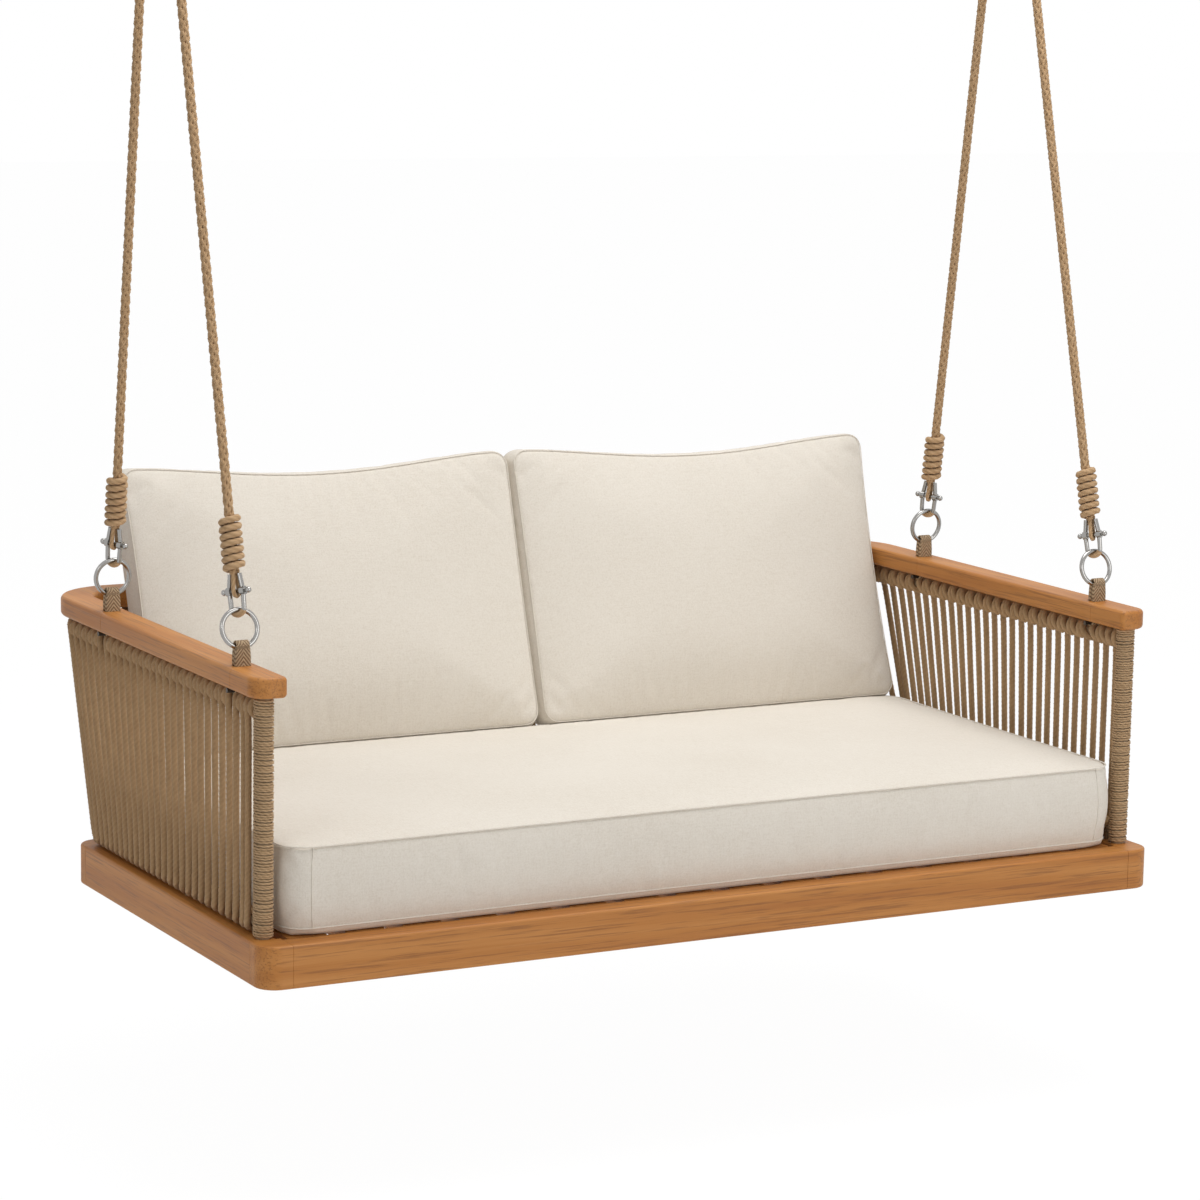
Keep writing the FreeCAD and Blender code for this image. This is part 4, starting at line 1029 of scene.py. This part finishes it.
class Pad:
    # a boxed cushion: two faces and a border, with a seam loop along each edge
    def __init__(self, facts):
        self.facts = facts
        self.a, self.b = facts["width"] / 2, facts["depth"] / 2
        self.nx = max(2, round(facts["width"] / facts["cell"]))
        self.ny = max(2, round(facts["depth"] / facts["cell"]))
        self.nz = max(3, round((facts["highSeam"] - facts["lowSeam"]) / facts["cell"]))
        self.verts = []
        self.faces = []
        self.pinned = []
        self.build()

    def rim(self, u, v):
        # the sharp outline's point at u, v, rounded at the corners and drawn in along the sides
        a, b, r = self.a, self.b, self.facts["corner"]
        x, y = a * u, b * v
        if abs(x) > a - r and abs(y) > b - r:
            cx, cy = math.copysign(a - r, x), math.copysign(b - r, y)
            reach = math.hypot(x - cx, y - cy)
            x, y = cx + (x - cx) / reach * r, cy + (y - cy) / reach * r
        right, far, left, near = self.facts["draws"]
        bowX, bowY = (1 - (x / a) ** 2) ** 2, 1 - (y / b) ** 2
        y -= (far if y > 0 else -near) * bowX * abs(y / b) ** 2
        x -= (right if x > 0 else -left) * bowY * abs(x / a) ** 2
        return x, y

    def spot(self, u, v, z, grow=0.0):
        m = max(abs(u), abs(v))
        if m < 1e-9:
            return (0.0, 0.0, z)
        x, y = self.rim(u / m, v / m)
        if grow:
            reach = math.hypot(x / self.a, y / self.b)
            x, y = x + grow * x / self.a / reach, y + grow * y / self.b / reach
        return (x * m, y * m, z)

    def loop(self):
        # grid places round the rim, anticlockwise
        nx, ny = self.nx, self.ny
        ring = [(i, 0) for i in range(nx)] + [(nx, j) for j in range(ny)]
        ring += [(i, ny) for i in range(nx, 0, -1)] + [(0, j) for j in range(ny, 0, -1)]
        return ring

    def uv(self, i, j):
        return 2 * i / self.nx - 1, 2 * j / self.ny - 1

    def face(self, seam, crown, sign):
        # one face as a grid, crowned away from its seam; returns its vertex numbers
        numbers = {}
        for j in range(self.ny + 1):
            for i in range(self.nx + 1):
                u, v = self.uv(i, j)
                m = max(abs(u), abs(v))
                numbers[i, j] = len(self.verts)
                full = crown * (1 - m ** 3) * (1 - self.facts["sag"] * v)
                self.verts.append(self.spot(u, v, seam + sign * full))
                if m > 1 - 1e-6:
                    self.pinned.append(numbers[i, j])
        for j in range(self.ny):
            for i in range(self.nx):
                quad = [numbers[i, j], numbers[i + 1, j], numbers[i + 1, j + 1], numbers[i, j + 1]]
                self.faces.append(quad if sign > 0 else quad[::-1])
        return numbers

    def build(self):
        facts = self.facts
        high = self.face(facts["highSeam"], facts["crown"][0], 1)
        lowCrown = facts["lowSeam"] if facts["flatBelow"] else facts["crown"][1]
        low = self.face(facts["lowSeam"], lowCrown, -1)
        if facts["flatBelow"]:
            for (i, j), n in low.items():
                ring = min(i, j, self.nx - i, self.ny - j)
                if ring:
                    u, v = self.uv(i, j)
                    m = max(abs(u), abs(v), 0.001)
                    near = (0.85 + 0.15 * m) / m if ring == 1 else 1.0
                    self.verts[n] = self.spot(u * near, v * near, 0.0)
                    self.pinned.append(n)
        ring = self.loop()
        self.highLoop = [high[p] for p in ring]
        self.lowLoop = [low[p] for p in ring]
        rows = [self.lowLoop]
        for k in range(1, self.nz):
            share = k / self.nz
            z = facts["lowSeam"] + (facts["highSeam"] - facts["lowSeam"]) * share
            row = []
            for i, j in ring:
                u, v = self.uv(i, j)
                row.append(len(self.verts))
                self.verts.append(self.spot(u, v, z, facts["swell"] * math.sin(math.pi * share)))
            rows.append(row)
        rows.append(self.highLoop)
        self.rows = rows
        for below, above in zip(rows, rows[1:]):
            for k in range(len(ring)):
                n = (k + 1) % len(ring)
                self.faces.append([below[k], below[n], above[n], above[k]])

    def column(self, i, j):
        # vertex numbers up the border at one place of the rim
        k = self.loop().index((i, j))
        return [row[k] for row in self.rows]


def swollen(piece, pad, cap):
    # cloth under pressure, its seams held; no point moves further than the cap
    before = [v.co.copy() for v in piece.data.vertices]
    group = piece.vertex_groups.new(name="seams")
    group.add(pad.pinned, 1.0, "REPLACE")
    cloth = piece.modifiers.new("cloth", "CLOTH")
    settings = cloth.settings
    settings.use_pressure = True
    settings.uniform_pressure_force = clothFacts["pressure"]
    settings.effector_weights.gravity = 0
    settings.vertex_group_mass = "seams"
    settings.shrink_min = clothFacts["slack"]
    settings.tension_stiffness = clothFacts["stretch"]
    settings.compression_stiffness = clothFacts["stretch"]
    settings.bending_stiffness = clothFacts["bend"]
    cloth.point_cache.frame_end = clothFacts["frames"]
    for frameNumber in range(1, clothFacts["frames"] + 1):
        bpy.context.scene.frame_set(frameNumber)
    graph = bpy.context.evaluated_depsgraph_get()
    after = [v.co.copy() for v in piece.evaluated_get(graph).data.vertices]
    piece.modifiers.remove(cloth)
    bpy.context.scene.frame_set(1)
    for vertex, old, new in zip(piece.data.vertices, before, after):
        move = new - old
        far = move.length
        vertex.co = old + move * (cap / (far + cap)) if far > 1e-9 else old
    piece.vertex_groups.clear()


def addPad(name, facts, place, node):
    # made lying at the origin, filled, then carried to its place
    pad = Pad(facts)
    piece = meshObject(name, [Vector(v) / 1000 for v in pad.verts], pad.faces)
    mesh = piece.data
    swollen(piece, pad, facts["cap"] / 1000)
    spots = [v.co.copy() for v in mesh.vertices]
    mesh.transform(place)
    mesh.shade_smooth()
    mesh.materials.append(ecruLinen)
    finer = piece.modifiers.new("finer", "SUBSURF")
    finer.levels = finer.render_levels = 1
    onBody(piece, "seat", "ecru_fabric", node)
    return pad, spots


pipingFacts = {"diameter": 3.0, "stitch": 1.8, "proud": 0.0002, "tilt": 0.7, "lay": 9.0, "depth": 0.02}


def addPiping(name, pad, spots, place, diameter, seamColumns):
    middle = Vector((0, 0, sum(spots[n].z for n in pad.highLoop + pad.lowLoop) / (2 * len(pad.highLoop))))
    runs = []
    for loop in (pad.highLoop, pad.lowLoop):
        run = []
        for n in loop + loop[:2]:
            out = spots[n] - middle
            out = Vector((out.x / pad.a ** 2, out.y / pad.b ** 2, 0)).normalized()
            tilt = math.copysign(pipingFacts["tilt"], spots[n].z - middle.z)
            run.append(place @ (spots[n] + (out + Vector((0, 0, tilt))) * pipingFacts["proud"]))
        runs.append(run)
    lay, depth = pipingFacts["lay"], pipingFacts["depth"]
    piping = laid(name, runs, ecruLinen, diameter / 1000, lay, plies=2, depth=depth, step=0.006, sides=10)
    onBody(piping, "seat", "ecru_fabric")
    if seamColumns:
        runs = [[place @ spots[n] for n in column] for column in seamColumns]
        seams = laid(name + "_corner_seams", runs, ecruLinen, pipingFacts["stitch"] / 1000, lay, plies=2,
                     depth=depth, step=0.004, sides=8)
        onBody(seams, "seat", "ecru_fabric")


def padBox(pad, turn):
    # middle of the pad's box once it is turned
    spots = [turn @ (Vector(v) / 1000) for v in pad.verts]
    return Vector([(min(values) + max(values)) / 2 for values in zip(*spots)])


def addCushions():
    place = Matrix.Translation(seatPoint(0, padPlaces["seatMiddleBack"], padPlaces["seatUp"]))
    pad, spots = addPad("seat_cushion_filled", seatPad, place, "seat_cushion")
    inset = round(seatPad["corner"] / seatPad["width"] * pad.nx)
    columns = [pad.column(i, j) for i in (inset, pad.nx - inset) for j in (0, pad.ny)]
    addPiping("seat_cushion_piping", pad, spots, place, pipingFacts["diameter"], columns)
    tip = Matrix.Rotation(math.radians(90 - padPlaces["backLean"]), 4, "X")
    right, far, left, near = backPad["draws"]
    touching = padPlaces["touchingDraw"]
    # the two lie against each other, so their meeting sides stay fuller
    twoPads = (("right", padPlaces["asideRight"], (right, far, touching, near)),
               ("left", padPlaces["asideLeft"], (touching, far, left, near)))
    for word, aside, draws in twoPads:
        name = "back_cushion_" + word
        facts = dict(backPad, draws=draws)
        low, high = (Vector(p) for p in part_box(name))
        shift = Vector((aside, 0, padPlaces["backUp"])) / 1000
        place = Matrix.Translation((low + high) / 2 + shift - padBox(Pad(facts), tip)) @ tip
        pad, spots = addPad(name + "_filled", facts, place, name)
        addPiping(name + "_seams", pad, spots, place, pipingFacts["stitch"], [])


addCushions()
print("cushions filled")

# ceiling screws

screwFacts = {"x": 821.0, "apart": 84.0, "under": 2028.0, "radius": 8.0, "height": 5.0}
screwSpots = []
for side in (-1, 1):
    for way in (-1, 1):
        back = plan["pivotBack"] + way * screwFacts["apart"] / 2
        screwSpots.append(seatPoint(side * screwFacts["x"], back, screwFacts["under"]))
screws = madeByTree(meshObject("screwSpots", screwSpots, []), studs, "ceiling_screws", Material=satinSteel,
                    Radius=screwFacts["radius"] / 1000, Height=screwFacts["height"] / 1000)
onBody(screws, "ceiling_hangers", "plain_steel")
print("screws set")

# light and floor

stageFacts = {
    "floorUp": -360.0,
    "floorSize": 60.0,
    "worldStrength": 0.36,
    "floorGlow": 0.94,
    "glowStrength": 1.03,
    "paper": (0.9, 0.9, 0.9),
    "paperRoughness": 0.9,
    "lampAim": (0, 450, 250),
}
lamps = {
    "softTop": {"from": (0.6, -0.4, 4.4), "size": 3.4, "watts": 166},
    "softFront": {"from": (1.6, -5.0, 1.0), "size": 2.4, "watts": 50},
    "softLeft": {"from": (-4.2, -2.6, 2.0), "size": 1.4, "watts": 16},
}


def showsBackdrop(nodes):
    # 1 where the eye, a reflection or a view through glass meets the backdrop
    eye = nodes.add("ShaderNodeLightPath", {}, {}, "Is Camera Ray")
    total = eye
    for way in ("Is Glossy Ray", "Is Transmission Ray"):
        total = nodes.add("ShaderNodeMath", {"use_clamp": True}, {0: total, 1: eye.other(way)})
    return total


def addWorld():
    world = bpy.data.worlds.new("studio")
    bpy.context.scene.world = world
    world.use_nodes = True
    world.node_tree.nodes.clear()
    out = world.node_tree.nodes.new("ShaderNodeOutputWorld")
    nodes = Nodes(world.node_tree)
    white = (1, 1, 1)
    lit = nodes.add("ShaderNodeBackground", {}, {"Color": white, "Strength": stageFacts["worldStrength"]})
    seen = nodes.add("ShaderNodeBackground", {}, {"Color": white, "Strength": 1.0})
    pick = nodes.add("ShaderNodeMixShader", {}, {0: showsBackdrop(nodes), 1: lit, 2: seen})
    nodes.feed(out.inputs["Surface"], pick)


def addFloor():
    half = stageFacts["floorSize"] / 2
    level = seatPoint(0, 0, stageFacts["floorUp"]).z
    corners = [(-half, -half, level), (half, -half, level), (half, half, level), (-half, half, level)]
    floor = meshObject("floor", corners, [(0, 1, 2, 3)])
    paper = Finish("paleFloor")
    paper.set(Base_Color=stageFacts["paper"], Roughness=stageFacts["paperRoughness"])
    plain = Flow(paper, paper.shader.outputs[0])
    glow = paper.add("ShaderNodeEmission", {}, {"Strength": stageFacts["glowStrength"]})
    share = showsBackdrop(paper) * stageFacts["floorGlow"]
    pick = paper.add("ShaderNodeMixShader", {}, {0: share, 1: plain, 2: glow})
    paper.feed(paper.tree.nodes["Material Output"].inputs["Surface"], pick)
    floor.data.materials.append(paper.material)


def addLamp(name, facts):
    data = bpy.data.lights.new(name, "AREA")
    data.shape = "SQUARE"
    data.size = facts["size"]
    data.energy = facts["watts"]
    lamp = linked(bpy.data.objects.new(name, data))
    away = Vector(facts["from"])
    lamp.location = seatPoint(*stageFacts["lampAim"]) + away
    lamp.rotation_euler = (-away).to_track_quat("-Z", "Y").to_euler()


addWorld()
addFloor()
for name, facts in lamps.items():
    addLamp(name, facts)
bpy.context.scene.view_settings.view_transform = "Standard"
print("stage lit")
